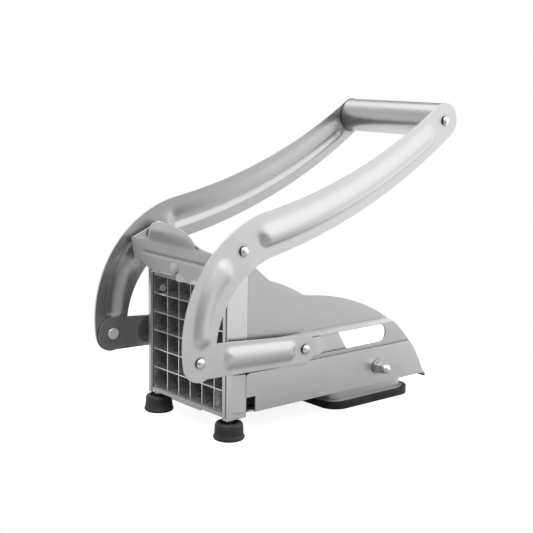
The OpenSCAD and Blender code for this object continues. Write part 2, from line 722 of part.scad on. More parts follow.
// The cross bolt is a threaded rod with a washer and a cap nut at each end
cap_x = base_x + washer_t;
nut_hex = 0.42 * nut_len;
module cross_bolt() {
    color("silver") placed() rod_x([bolt_y, bolt_z], -cap_x - nut_hex, cap_x + nut_hex, bolt_r);
}
module pan_spacers() {
    color("silver") placed() both() difference() {
        rod_x([bolt_y, bolt_z], pan_ear_x + pan_t, skirt_x, 0.9 * washer_r);
        rod_x([bolt_y, bolt_z], pan_ear_x, base_x, bolt_r + run_play);
    }
}
module bolt_washers() {
    color("silver") placed() both() difference() {
        rod_x([bolt_y, bolt_z], base_x, cap_x, washer_r);
        rod_x([bolt_y, bolt_z], base_x - cut, cap_x + cut, bolt_r + run_play);
    }
}
module cap_nuts() {
    dome_r = 0.44 * nut_flats;
    color("silver") placed() both() difference() {
        union() {
            translate([cap_x, bolt_y, bolt_z]) rotate([0, 90, 0])
                cylinder(h = nut_hex, r = nut_flats / (2 * cos(30)), $fn = 6);
            rod_x([bolt_y, bolt_z], cap_x, cap_x + nut_len - dome_r, dome_r);
            translate([cap_x + nut_len - dome_r, bolt_y, bolt_z]) sphere(dome_r, $fn = fine);
        }
        rod_x([bolt_y, bolt_z], cap_x - cut, cap_x + nut_hex + run_play, bolt_r + run_play);
    }
}

module fulcrum_pins() {
    color("silver") placed() both()
        rivet_x(fulcrum, web_x - tail_t, arm_out + head_gap, fulcrum_pin_r, fulcrum_pin_r + 2 * tail_t);
}
module fulcrum_bushes() {
    color("silver") placed() both() difference() {
        rod_x(fulcrum, bush_x, arm_x - side_gap, fulcrum_pin_r + 2 * tail_t);
        rod_x(fulcrum, bush_x - cut, arm_x, fulcrum_pin_r + run_play);
    }
}

// The blade clamp leans forward: a plate with a curled thumb tongue and a press tab at its foot
tongue_angle = 60;
tab_z = ring_top + ring_lip + side_gap;
function clamp_at(h) = [post_y - ear_out - h * sin(clamp_lean_angle), ear_z + h * cos(clamp_lean_angle)];
clamp_foot = (tab_z - ear_z) / cos(clamp_lean_angle);
module tilted() { translate([0, post_y - ear_out, ear_z]) rotate([clamp_lean_angle, 0, 0]) children(); }
clamp_top = [for (a = [0:10:180]) [tongue_w * cos(a), curl_r * sin(tongue_angle) * sin(a)]];
module clamp_outline() {
    press = press_tab_w / 2 - lip_gap;
    waist = -1.42 * ear_h;
    half = [[press, clamp_foot], [press, waist], [clamp_foot_w, waist], [1.07 * clamp_foot_w, -1.17 * ear_h],
        [1.19 * clamp_foot_w, -1.04 * ear_h], [cheek_out, -ear_h], [cheek_out, 0]];
    polygon(concat(half, clamp_top, [for (i = [len(half) - 1:-1:0]) [-half[i][0], half[i][1]]]));
}
// Its section: the flat plate, then the tongue's curl
module clamp_section() {
    function curl(r) = [for (a = [0:5:tongue_angle]) [r * cos(a) - curl_r, r * sin(a)]];
    inner = curl(curl_r);
    polygon(concat([[0, clamp_foot]], inner, [for (i = [len(inner) - 1:-1:0]) curl(curl_r + clamp_t)[i]],
        [[clamp_t, clamp_foot]]));
}
// The pressed bead across the clamp: a groove in front that stands out behind
bead_half = 1.12 * clamp_foot_w;
bead_sink = 1.1 * clamp_t;
module clamp_bead(out) {
    high = 1.35 * clamp_t + out;
    intersection() {
        plate_yz(-bead_half - out, 2 * (bead_half + out)) translate([0, -0.57 * ear_h])
            polygon(concat([[-cut, -high], [-cut, high]],
                [for (a = [80:-20:-80]) [(bead_sink + out) * cos(a), high * sin(a)]]));
        plate_xz(-2 * cut, 2 * (cut + clamp_t + bead_sink)) translate([0, -0.57 * ear_h])
            polygon([for (side = [-1, 1]) for (a = [-90:30:90])
                side * [bead_half + out - high + high * cos(a), high * sin(a)]]);
    }
}
module blade_clamp() {
    flange_x = tongue_w + clamp_t;
    flange_len = 0.25 * ear_h;
    press_y = clamp_at(clamp_foot)[0] + 0.2 * clamp_t;
    color("silver") placed() difference() {
        union() {
            tilted() difference() {
                union() {
                    intersection() {
                        plate_yz(-cheek_out, 2 * cheek_out) clamp_section();
                        plate_xz(-curl_r, curl_r + clamp_t + cut) clamp_outline();
                    }
                    both() translate([flange_x, 0, -clamp_t])
                        cube([cheek_out - flange_x, flange_len, clamp_t]);
                    intersection() {
                        clamp_bead(clamp_t);
                        plate_yz(-cheek_out, 2 * cheek_out) translate([clamp_t / 2, -ear_h]) square(ear_h);
                    }
                }
                clamp_bead(0);
            }
            translate([-press_tab_w / 2, press_y, tab_z])
                cube([press_tab_w, ring_y + ring_t - press_y, clamp_t]);
            both() plate_yz(cheek_x, clamp_t)
                tapered_lug(clamp_at(-ear_h), clamp_at(0), fulcrum, 0.4 * ear_h);
        }
        rod_x(fulcrum, -cheek_out - cut, cheek_out + cut, fulcrum_pin_r + run_play);
    }
}

module arm_right() {
    color("silver") placed() difference() {
        translate([arm_x, 0, 0]) pressed(arm_rows, arm_t);
        rod_x(low_pivot, arm_x - cut, arm_out + cut, pin_r + run_play);
        rod_x(fulcrum, arm_x - cut, arm_out + cut, fulcrum_pin_r + run_play);
        rod_x(grip, grip_x - cut, grip_out + cut, rod_r + run_play);
    }
}
module arm_left() { mirror([1, 0, 0]) arm_right(); }
// The lower rivets: each head and stub stays with its arm, and the tail turns with the link
module arm_pins() {
    color("silver") placed() both() rivet_x(low_pivot, arm_x, arm_out, pin_r, pin_r);
}
module grip_tube() {
    color("silver") placed() difference() {
        rod_x(grip, -grip_x, grip_x, grip_r);
        rod_x(grip, -grip_out, grip_out, grip_r - grip_t);
    }
}
module grip_plugs() {
    color("dimgray") placed() both() difference() {
        rod_x(grip, grip_x - 0.4 * grip_r, grip_x, grip_r - grip_t - run_play);
        rod_x(grip, grip_x - grip_r, grip_out, rod_r + run_play);
    }
}
module grip_rod() {
    color("silver") placed() both() rivet_x(grip, 0, grip_out, rod_r, rod_r);
}

// Rows of points over a link: two round ends and a raised panel with rounded corners
panel_share = [0.28, 0.88];
panel_mid = link_len * (panel_share[0] + panel_share[1]) / 2;
panel_half = [link_len * (panel_share[1] - panel_share[0]) / 2, 0.6 * link_front_r];
panel_r = 0.68 * panel_half[1];
panel_ramp = 1.5 * link_rib_h;
function link_half(s) = s < 0 ? sqrt(pow(link_front_r, 2) - s * s)
    : s < link_len ? link_front_r + (link_rear_r - link_front_r) * s / link_len
    : sqrt(pow(link_rear_r, 2) - pow(s - link_len, 2));
function panel_depth(q) = panel_r - norm([max(q[0], 0), max(q[1], 0)]) - min(max(q[0], q[1]), 0);
function panel_lift(s, t) = link_rib_h * min(1, max(0, panel_depth(
    [abs(s - panel_mid), abs(t)] - panel_half + [panel_r, panel_r]) / panel_ramp));
panel_steps = [0, 0.3 * panel_ramp, 0.65 * panel_ramp, panel_ramp, panel_r];
link_stations = concat([for (a = cap_angles) -link_front_r * cos(a)], [0],
    [for (d = panel_steps) panel_mid - panel_half[0] + d], [panel_mid],
    [for (i = [len(panel_steps) - 1:-1:0]) panel_mid + panel_half[0] - panel_steps[i]], [link_len],
    [for (i = [len(cap_angles) - 1:-1:0]) link_len + link_rear_r * cos(cap_angles[i])]);
panel_lines = [-1, -0.85, -0.62, -0.3, 0, 0.3, 0.62, 0.85, 1];
function link_row(s) = let (half = link_half(s), w = min(0.8 * half, panel_half[1]),
        mid = low_pivot + s * dir(link_angle), n = left_of(link_angle),
        ts = concat([-half], [for (k = panel_lines) k * w], [half]))
    [for (t = ts) [mid[0] + t * n[0], mid[1] + t * n[1], panel_lift(s, t)]];
module link_right() {
    color("silver") placed() difference() {
        translate([link_x, 0, 0]) pressed([for (s = link_stations) link_row(s)], link_t);
        rod_x(low_pivot, link_x - cut, arm_x, pin_r + run_play);
        rod_x(rear_pivot, link_x - cut, arm_x, pin_r + run_play);
    }
}
module link_left() { mirror([1, 0, 0]) link_right(); }
module link_pins() {
    color("silver") placed() both() {
        rod_x(low_pivot, link_x - tail_t, link_x + link_t, pin_r);
        rod_x(low_pivot, link_x - tail_t, link_x, pin_r + 2 * tail_t);
    }
}

// Pegs, one for each cell: rows of chamfered bars crossed with columns of them
peg_at = [for (i = [0.5:1:cells]) i * cell_pitch - grid_half];
module peg_bars() {
    tip = peg_half - peg_chamfer;
    shoulder = peg_y + peg_chamfer;
    for (at = peg_at) translate([-grid_half, 0, at]) rotate([90, 0, 90]) linear_extrude(2 * grid_half)
        polygon([[plate_y + cut, -peg_half], [plate_y + cut, peg_half], [shoulder, peg_half], [peg_y, tip],
            [peg_y, -tip], [shoulder, -peg_half]]);
}
screw_at = 0.62 * plate_half;
head_screw_r = 0.32 * head_plate_t;
module at_head_screws(y) {
    for (x = [-screw_at, screw_at]) for (z = [-screw_at, screw_at])
        translate([x, y, grid_z + z]) rotate([-90, 0, 0]) children();
}
// The outer pegs are cut back beside the blade frame's eyelets
relief_gap = 0.35;
relief_x = grid_half - lap_t - head_h / 2 - relief_gap;
relief_half = ring_rivet_r + relief_gap;
module pusher_head() {
    color("dimgray") placed() difference() {
        union() {
            translate([0, 0, grid_z]) intersection() {
                peg_bars();
                rotate([0, 90, 0]) peg_bars();
            }
            translate([-plate_half, plate_y, grid_z - plate_half])
                cube([2 * plate_half, head_plate_t, 2 * plate_half]);
        }
        at_head_screws(plate_y + 0.3 * head_plate_t)
            cylinder(h = head_plate_t, r = head_screw_r + run_play, $fn = fine);
        both() translate([relief_x, peg_y - cut, lap_z - relief_half])
            cube([grid_half - relief_x, peg_len + cut, 2 * relief_half]);
    }
}
rail_z = slot_z - slot_h / 2 - side_gap;
rail_top = slot_z + 0.46 * slot_h;
module pusher_carriage() {
    half = 0.94 * plate_half;
    rail_in = rail_x - carriage_t;
    reach = rear_pivot[0] + block_len;
    color("silver") placed() difference() {
        union() {
            plate_xz(carriage_y, carriage_t) {
                translate([-half, grid_z - half]) square(2 * half);
                translate([-rail_x, rail_z]) square([2 * rail_x, rail_top - rail_z]);
            }
            both() {
                plate_yz(rail_in, carriage_t) polygon([[carriage_y, rail_z], [reach + rail_foot, rail_z],
                    [reach - rail_foot, rail_top], [carriage_y, rail_top]]);
                translate([rail_in - rail_foot, carriage_y, rail_z])
                    cube([rail_foot + carriage_t, reach + rail_foot / 2 - carriage_y, carriage_t]);
            }
        }
        at_head_screws(carriage_y - cut)
            cylinder(h = carriage_t + 2 * cut, r = head_screw_r + run_play, $fn = fine);
        rod_x(rear_pivot, -rail_x - cut, -rail_in + cut, pin_r + run_play);
        rod_x(rear_pivot, rail_in - cut, rail_x + cut, pin_r + run_play);
    }
}
module head_screws() {
    shank = 0.6 * head_plate_t;
    color("silver") placed() at_head_screws(carriage_y - shank) {
        cylinder(h = shank + carriage_t, r = head_screw_r, $fn = fine);
        translate([0, 0, shank + carriage_t]) cylinder(h = head_screw_r, r = 2 * head_screw_r, $fn = fine);
    }
}
module slide_block_right() {
    length = block_len - 2 * block_half;
    color("gainsboro") placed() difference() {
        plate_yz(rail_x, base_x - rail_x) {
            translate(rear_pivot - [length / 2, block_half]) square([length, 2 * block_half]);
            for (side = [-1, 1]) translate(rear_pivot + [side * length / 2, 0])
                circle(block_half, $fn = fine);
        }
        rod_x(rear_pivot, rail_x - cut, base_x + cut, pin_r + run_play);
    }
}
module slide_block_left() { mirror([1, 0, 0]) slide_block_right(); }
module slide_pins() {
    tail_x = rail_x - carriage_t - tail_t;
    color("silver") placed() both()
        rivet_x(rear_pivot, tail_x, link_x + link_t + head_gap, pin_r, pin_r + 2 * tail_t);
}

post_right();
post_left();
front_sill();
blade_frame();
blades_upright();
blades_level();
frame_rivets();
side_plate_right();
side_plate_left();
base_channel();
front_foot_right();
front_foot_left();
foot_screws();
foot_nuts();
rear_foot_pan();
rear_pad();
cross_bolt();
pan_spacers();
bolt_washers();
cap_nuts();
fulcrum_pins();
fulcrum_bushes();
blade_clamp();
arm_right();
arm_left();
grip_tube();
grip_plugs();
grip_rod();
arm_pins();
link_right();
link_left();
link_pins();
pusher_head();
pusher_carriage();
head_screws();
slide_block_right();
slide_block_left();
slide_pins();
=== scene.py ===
"""Looks of a french fry cutter: satin steel sheet, bright blades and black rubber feet.

X is the width, Y runs from the blades to the back, and Z is up. Lengths are in metres, angles in degrees.
A place in the side view is a vector of two numbers, first Y and then Z.
"""
import json
import math

import bmesh
import bpy
from mathutils import Matrix, Vector


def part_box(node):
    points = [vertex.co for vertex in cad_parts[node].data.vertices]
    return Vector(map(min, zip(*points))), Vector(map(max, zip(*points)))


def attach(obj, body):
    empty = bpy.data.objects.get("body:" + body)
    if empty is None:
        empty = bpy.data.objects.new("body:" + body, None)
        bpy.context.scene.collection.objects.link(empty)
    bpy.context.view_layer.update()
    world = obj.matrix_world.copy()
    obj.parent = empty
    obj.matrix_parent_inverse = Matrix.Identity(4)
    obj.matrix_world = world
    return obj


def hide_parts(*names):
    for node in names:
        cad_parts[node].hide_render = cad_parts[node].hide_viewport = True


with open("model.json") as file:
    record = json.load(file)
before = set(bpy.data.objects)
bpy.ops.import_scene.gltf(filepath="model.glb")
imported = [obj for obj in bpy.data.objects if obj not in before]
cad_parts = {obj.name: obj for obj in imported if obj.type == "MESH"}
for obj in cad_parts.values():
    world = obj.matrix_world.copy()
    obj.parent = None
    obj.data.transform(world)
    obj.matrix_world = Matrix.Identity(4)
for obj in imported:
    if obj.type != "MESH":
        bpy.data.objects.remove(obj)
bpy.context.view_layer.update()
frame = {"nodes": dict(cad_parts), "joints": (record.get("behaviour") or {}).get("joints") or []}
nodes = frame["nodes"]
MM = 0.001
SIDES = {"right": 1, "left": -1}


# Small helpers

def direction(angle):
    """Unit vector in the side view, at an angle up from Y."""
    return Vector((math.cos(math.radians(angle)), math.sin(math.radians(angle))))


def left_of(angle):
    """Unit vector in the side view, square to direction and on its left."""
    return Vector((-math.sin(math.radians(angle)), math.cos(math.radians(angle))))


def joint_place(name):
    """A joint's place in the side view."""
    return Vector(next(joint["pos_m"] for joint in frame["joints"] if joint["name"] == name)).yz


def clamped(value, low=0.0, high=1.0):
    return max(low, min(high, value))


def mixed(share, low, high):
    return low + share * (high - low)


def eased(share):
    """From 0 to 1 along a quarter of a sine wave, fast at first."""
    return math.sin(math.pi / 2 * share)


def spaced(low, high, count):
    """Evenly spaced values from low to high, with count gaps."""
    return [low + (high - low) * i / count for i in range(count + 1)]


# Camera and lamps

PHOTO_SIZE = 533
CAMERA_PLACE = Vector((0.5798, -0.5072, 0.2335))
CAMERA_AZIMUTH = 49.63
CAMERA_DROP = 10.09
CAMERA_ROLL = 0.94
CAMERA_REACH = (0.05, 20)
FOCAL_PIXELS = 1144.8
SENSOR = 36.0
LAMP_AIM = Vector((0, 0, 0.1))
KEY_PLACE = Vector((0.1, -0.5, 1.3))
KEY_WIDTH = 0.9
KEY_WATTS = 9
FILL_PLACE = Vector((1.2, 0.5, 0.8))
FILL_WIDTH = 1.4
FILL_WATTS = 3


def make_camera():
    turn, drop, roll = (math.radians(angle) for angle in (CAMERA_AZIMUTH, CAMERA_DROP, CAMERA_ROLL))
    forward = Vector((-math.sin(turn) * math.cos(drop), math.cos(turn) * math.cos(drop), -math.sin(drop)))
    level = Vector((math.cos(turn), math.sin(turn), 0))
    square = level.cross(forward)
    right = level * math.cos(roll) + square * math.sin(roll)
    up = square * math.cos(roll) - level * math.sin(roll)
    camera = bpy.data.objects.new("camera", bpy.data.cameras.new("camera"))
    bpy.context.scene.collection.objects.link(camera)
    turned_axes = Matrix((right, up, -forward)).transposed().to_4x4()
    camera.matrix_world = Matrix.Translation(CAMERA_PLACE) @ turned_axes
    camera.data.sensor_width = SENSOR
    camera.data.lens = FOCAL_PIXELS / PHOTO_SIZE * SENSOR
    camera.data.clip_start, camera.data.clip_end = CAMERA_REACH
    bpy.context.scene.camera = camera


def make_lamp(name, place, width, watts):
    data = bpy.data.lights.new(name, "AREA")
    data.shape = "SQUARE"
    data.size = width
    data.energy = watts
    lamp = bpy.data.objects.new(name, data)
    bpy.context.scene.collection.objects.link(lamp)
    lamp.location = place
    lamp.rotation_euler = (LAMP_AIM - place).to_track_quat("-Z", "Y").to_euler()


# Shader nodes: each helper adds one node and gives back what comes out of it

def feed(tree, socket, value):
    """Link a socket to what another node puts out, or give it a plain value."""
    if isinstance(value, bpy.types.NodeSocket):
        tree.links.new(value, socket)
    else:
        socket.default_value = value


def math_node(tree, operation, *values):
    node = tree.nodes.new("ShaderNodeMath")
    node.operation = operation
    for socket, value in zip(node.inputs, values):
        feed(tree, socket, value)
    return node.outputs["Value"]


def vector_node(tree, operation, *values):
    """An operation on vectors: what it puts out is called Vector or Value."""
    node = tree.nodes.new("ShaderNodeVectorMath")
    node.operation = operation
    for socket, value in zip(node.inputs, values):
        feed(tree, socket, value)
    return node.outputs


def noise_node(tree, vector, scale, detail):
    node = tree.nodes.new("ShaderNodeTexNoise")
    feed(tree, node.inputs["Vector"], vector)
    feed(tree, node.inputs["Scale"], scale)
    feed(tree, node.inputs["Detail"], detail)
    return node.outputs["Fac"]


def map_range(tree, value, low, high, to_low, to_high, shape="LINEAR"):
    node = tree.nodes.new("ShaderNodeMapRange")
    node.interpolation_type = shape
    feed(tree, node.inputs["Value"], value)
    feed(tree, node.inputs["From Min"], low)
    feed(tree, node.inputs["From Max"], high)
    feed(tree, node.inputs["To Min"], to_low)
    feed(tree, node.inputs["To Max"], to_high)
    return node.outputs["Result"]


def held(tree, value):
    """Value kept between 0 and 1."""
    node = tree.nodes.new("ShaderNodeClamp")
    feed(tree, node.inputs["Value"], value)
    return node.outputs["Result"]


def mix_colours(tree, share, first, second, blend="MIX"):
    node = tree.nodes.new("ShaderNodeMix")
    node.data_type = "RGBA"
    node.blend_type = blend
    feed(tree, node.inputs["Factor"], share)
    feed(tree, node.inputs["A"], first)
    feed(tree, node.inputs["B"], second)
    return node.outputs["Result"]


def coordinates(tree, kind):
    return tree.nodes.new("ShaderNodeTexCoord").outputs[kind]


def seen_directly(tree):
    """1 for rays that come from the camera, straight or through something clear."""
    path = tree.nodes.new("ShaderNodeLightPath")
    return math_node(tree, "MAXIMUM", path.outputs["Is Camera Ray"], path.outputs["Is Transmission Ray"])


def add_bump(tree, height, strength, distance):
    node = tree.nodes.new("ShaderNodeBump")
    feed(tree, node.inputs["Strength"], strength)
    feed(tree, node.inputs["Distance"], distance)
    feed(tree, node.inputs["Height"], height)
    return node.outputs["Normal"]


def grey(level):
    return (level, level, level, 1)


# Steel, rubber and plastic are a trace bluer than a plain grey
COOLNESS = 1.004


def cool_grey(level):
    return (level, level, level * COOLNESS, 1)


# The room: white for the camera, and areas of light and dark for the steel to mirror

# Each area: where it lies, its half width, its level and its share
ROOM_AREAS = {
    "white_wall": ((-0.08, 0.97, -0.15), 64, 2.5, 0.9),
    "low_window": ((0.72, 0.66, 0.24), 34, 2.1, 0.85),
    "far_shelf": ((-0.66, 0.66, 0.33), 30, 0.2, 0.75),
    "left_wall": ((-0.68, -0.64, 0.42), 34, 0.6, 0.6),
    "front_floor": ((-0.75, -0.6, -0.22), 42, 1.35, 0.85),
    "dark_corner": ((0.64, -0.75, 0.02), 34, 0.4, 0.6),
}
# Height in the room, from 0 at the nadir to 1 at the zenith, and the level there
ROOM_HEIGHTS = [(0.0, 0.64), (0.48, 0.64), (0.5, 0.6), (0.54, 0.95), (0.62, 1.2),
                (0.72, 1.55), (0.8, 1.8), (0.88, 2.8), (0.95, 2.2), (1.0, 1.0)]
ROOM_LEVEL = 0.8


def make_world():
    """A white room for the camera. The steel sees bright panels high up, grey walls and a dark corner."""
    world = bpy.data.worlds.new("studio")
    bpy.context.scene.world = world
    world.use_nodes = True
    tree = world.node_tree
    tree.nodes.clear()
    way = coordinates(tree, "Generated")
    split = tree.nodes.new("ShaderNodeSeparateXYZ")
    feed(tree, split.inputs["Vector"], way)
    ramp = tree.nodes.new("ShaderNodeValToRGB")
    stops = ramp.color_ramp.elements
    ramp.color_ramp.interpolation = "EASE"
    while len(stops) < len(ROOM_HEIGHTS):
        stops.new(0.5)
    for stop, (height, level) in zip(stops, ROOM_HEIGHTS):
        stop.position = height
        stop.color = grey(level)
    feed(tree, ramp.inputs["Fac"], map_range(tree, split.outputs["Z"], -1, 1, 0, 1))
    colour = ramp.outputs["Color"]
    for toward, wide, level, share in ROOM_AREAS.values():
        near = vector_node(tree, "DOT_PRODUCT", way, Vector(toward).normalized())["Value"]
        rim, core = math.cos(math.radians(wide)), math.cos(math.radians(wide / 2))
        cover = map_range(tree, near, rim, core, 0, share, "SMOOTHSTEP")
        colour = mix_colours(tree, cover, colour, grey(level))
    mirrored = tree.nodes.new("ShaderNodeBackground")
    feed(tree, mirrored.inputs["Color"], colour)
    feed(tree, mirrored.inputs["Strength"], ROOM_LEVEL)
    white = tree.nodes.new("ShaderNodeBackground")
    feed(tree, white.inputs["Color"], grey(1))
    choice = tree.nodes.new("ShaderNodeMixShader")
    feed(tree, choice.inputs["Fac"], seen_directly(tree))
    tree.links.new(mirrored.outputs["Background"], choice.inputs[1])
    tree.links.new(white.outputs["Background"], choice.inputs[2])
    out = tree.nodes.new("ShaderNodeOutputWorld")
    tree.links.new(choice.outputs["Shader"], out.inputs["Surface"])


# The floor

FLOOR_HALF = 240 * MM
FLOOR_SHADE = 0.33
# A floor this bright and lit by the lamps is white in the picture
FLOOR_GLOW = 0.88
# Painted shadow and light for the steel to mirror: for glossy rays the floor's glow is missing under the
# cutter, grows away from it, and grows once more on its far side
PAINTED_FLOOR_SHADOW = (60 * MM, 160 * MM)
GLOW_PAST_FLOOR_SHADOW = 0.26
PAINTED_FAR_GLOW = (20 * MM, 140 * MM)
PAINTED_FAR_GLOW_WAY = (-1, 1, 0)
PAINTED_FAR_GLOW_LEVEL = 0.7


def make_floor_material():
    material = bpy.data.materials.new("floor_white")
    material.use_nodes = True
    tree = material.node_tree
    tree.nodes.clear()
    place = coordinates(tree, "Object")
    away = vector_node(tree, "LENGTH", place)["Value"]
    # Painted shadow round the cutter and painted light on the far side, seen only in reflections
    past_floor_shadow = map_range(tree, away, *PAINTED_FLOOR_SHADOW, 0, GLOW_PAST_FLOOR_SHADOW, "SMOOTHSTEP")
    along = vector_node(tree, "DOT_PRODUCT", place, PAINTED_FAR_GLOW_WAY)["Value"]
    far_glow = map_range(tree, along, *PAINTED_FAR_GLOW, 0, PAINTED_FAR_GLOW_LEVEL, "SMOOTHSTEP")
    mirrored = math_node(tree, "ADD", past_floor_shadow, far_glow)
    seen = math_node(tree, "MULTIPLY", seen_directly(tree), FLOOR_GLOW)
    glossy = tree.nodes.new("ShaderNodeLightPath").outputs["Is Glossy Ray"]
    glow = tree.nodes.new("ShaderNodeEmission")
    feed(tree, glow.inputs["Color"], grey(1))
    feed(tree, glow.inputs["Strength"], math_node(tree, "MULTIPLY_ADD", glossy, mirrored, seen))
    matt = tree.nodes.new("ShaderNodeBsdfDiffuse")
    feed(tree, matt.inputs["Color"], grey(FLOOR_SHADE))
    both = tree.nodes.new("ShaderNodeAddShader")
    tree.links.new(matt.outputs["BSDF"], both.inputs[0])
    tree.links.new(glow.outputs["Emission"], both.inputs[1])
    out = tree.nodes.new("ShaderNodeOutputMaterial")
    tree.links.new(both.outputs["Shader"], out.inputs["Surface"])
    return material


def make_floor():
    """A white floor that stays white in the picture and keeps a soft shadow. The steel mirrors it with a
    painted shadow under the cutter.
    """
    mesh = bpy.data.meshes.new("floor")
    half = FLOOR_HALF
    corners = [(-half, -half, 0), (half, -half, 0), (half, half, 0), (-half, half, 0)]
    mesh.from_pydata(corners, [], [(0, 1, 2, 3)])
    mesh.materials.append(make_floor_material())
    floor = bpy.data.objects.new("floor", mesh)
    bpy.context.scene.collection.objects.link(floor)


# Finishes that several materials share

SCRATCHES_PER_M = 2600.0
SCRATCH_DETAIL = 3.0
COARSE_SIZE_SHARE = 0.23
COARSE_DETAIL = 2.0
COARSE_SHARE = 0.45
CLOUDS_PER_M = 45.0
CLOUD_DETAIL = 2.0
WEAR_SAMPLES = 4
WEAR_PATCHES_PER_M = 420.0
WEAR_PATCH_DETAIL = 3.0
WEAR_PATCH_GAIN = 1.2
WEAR_PATCH_BASE = 0.4
WEAR_GAIN = 4.0
# Painted shade in crevices: how near another piece must lie for a steel to darken, and how many samples
# find it
CREVICE_SHADE_SAMPLES = 8
CREVICE_SHADE_REACH = 2.2 * MM
PEBBLES_PER_M = 1500.0
DUST_PER_M = 90.0
DUST_DETAIL = 4.0


def new_group(name, inputs, outputs):
    """A shader group: inputs maps each input's name to its value, and outputs lists the outputs' names."""
    tree = bpy.data.node_groups.new(name, "ShaderNodeTree")
    for label, value in inputs.items():
        kind = "NodeSocketVector" if isinstance(value, tuple) else "NodeSocketFloat"
        socket = tree.interface.new_socket(name=label, in_out="INPUT", socket_type=kind)
        socket.default_value = value
    for label in outputs:
        tree.interface.new_socket(name=label, in_out="OUTPUT", socket_type="NodeSocketFloat")
    return tree, tree.nodes.new("NodeGroupInput").outputs, tree.nodes.new("NodeGroupOutput").inputs


def brushed_grain_group():
    """Fine scratches drawn out along the grain, and soft cloudy patches between them."""
    sizes = {"Stretch": (1, 1, 1), "Fineness": SCRATCHES_PER_M, "Cloud Size": CLOUDS_PER_M}
    tree, given, out = new_group("brushed_grain", sizes, ["Scratches", "Clouds"])
    place = coordinates(tree, "Object")
    drawn = vector_node(tree, "MULTIPLY", place, given["Stretch"])["Vector"]
    fine = noise_node(tree, drawn, given["Fineness"], SCRATCH_DETAIL)
    coarseness = math_node(tree, "MULTIPLY", given["Fineness"], COARSE_SIZE_SHARE)
    coarse = noise_node(tree, drawn, coarseness, COARSE_DETAIL)
    fine_part = math_node(tree, "MULTIPLY", fine, 1 - COARSE_SHARE)
    feed(tree, out["Scratches"], math_node(tree, "MULTIPLY_ADD", coarse, COARSE_SHARE, fine_part))
    feed(tree, out["Clouds"], noise_node(tree, place, given["Cloud Size"], CLOUD_DETAIL))
    return tree


def edge_wear_group():
    """How near a point lies to a sharp edge, from 0 to 1, broken up a little."""
    tree, given, out = new_group("edge_wear", {"Width": 0.6 * MM, "Strength": 1.0}, ["Edge"])
    rounded = tree.nodes.new("ShaderNodeBevel")
    rounded.samples = WEAR_SAMPLES
    feed(tree, rounded.inputs["Radius"], given["Width"])
    surface = tree.nodes.new("ShaderNodeNewGeometry")
    alike = vector_node(tree, "DOT_PRODUCT", rounded.outputs["Normal"], surface.outputs["Normal"])["Value"]
    near = math_node(tree, "SUBTRACT", 1.0, alike)
    patches = noise_node(tree, coordinates(tree, "Object"), WEAR_PATCHES_PER_M, WEAR_PATCH_DETAIL)
    broken = math_node(tree, "MULTIPLY_ADD", patches, WEAR_PATCH_GAIN, WEAR_PATCH_BASE)
    strong = math_node(tree, "MULTIPLY", math_node(tree, "MULTIPLY", near, broken), given["Strength"])
    feed(tree, out["Edge"], held(tree, math_node(tree, "MULTIPLY", strong, WEAR_GAIN)))
    return tree


def crevice_shade_group():
    """Painted shade: 1 on open faces, falling towards 0 where another piece lies close and shade would
    fall.
    """
    tree, given, out = new_group("painted_crevice_shade", {"Reach": CREVICE_SHADE_REACH, "Depth": 1.0}, ["Open"])
    near = tree.nodes.new("ShaderNodeAmbientOcclusion")
    near.samples = CREVICE_SHADE_SAMPLES
    feed(tree, near.inputs["Distance"], given["Reach"])
    closed = math_node(tree, "SUBTRACT", 1.0, near.outputs["AO"])
    shade = math_node(tree, "MULTIPLY", closed, given["Depth"])
    feed(tree, out["Open"], held(tree, math_node(tree, "SUBTRACT", 1.0, shade)))
    return tree


def mould_skin_group():
    """The fine pebbled skin of moulded rubber and plastic, with a little dust in it."""
    sizes = {"Grain Size": PEBBLES_PER_M, "Dust Size": DUST_PER_M}
    tree, given, out = new_group("mould_skin", sizes, ["Pebbles", "Dust"])
    place = coordinates(tree, "Object")
    cells = tree.nodes.new("ShaderNodeTexVoronoi")
    feed(tree, cells.inputs["Vector"], place)
    feed(tree, cells.inputs["Scale"], given["Grain Size"])
    feed(tree, out["Pebbles"], cells.outputs["Distance"])
    feed(tree, out["Dust"], noise_node(tree, place, given["Dust Size"], DUST_DETAIL))
    return tree


GRAIN = brushed_grain_group()
CREVICE_SHADE = crevice_shade_group()
WEAR = edge_wear_group()
SKIN = mould_skin_group()


def add_group(tree, group, values):
    node = tree.nodes.new("ShaderNodeGroup")
    node.node_tree = group
    for label, value in values.items():
        node.inputs[label].default_value = value
    return node.outputs


# Steels. Most of a noise lies between these two values
NOISE_SPREAD = (0.3, 0.7)
STEEL_WEAR_WIDTH = 0.6 * MM
STREAK_TONE = 0.035
CLOUD_TONE = 0.015
WEAR_TONE = 0.28
STREAK_ROUGHNESS = 0.04
CLOUD_ROUGHNESS = 0.03
WEAR_ROUGHNESS = -0.08
SCRATCH_DEPTH = 0.02 * MM


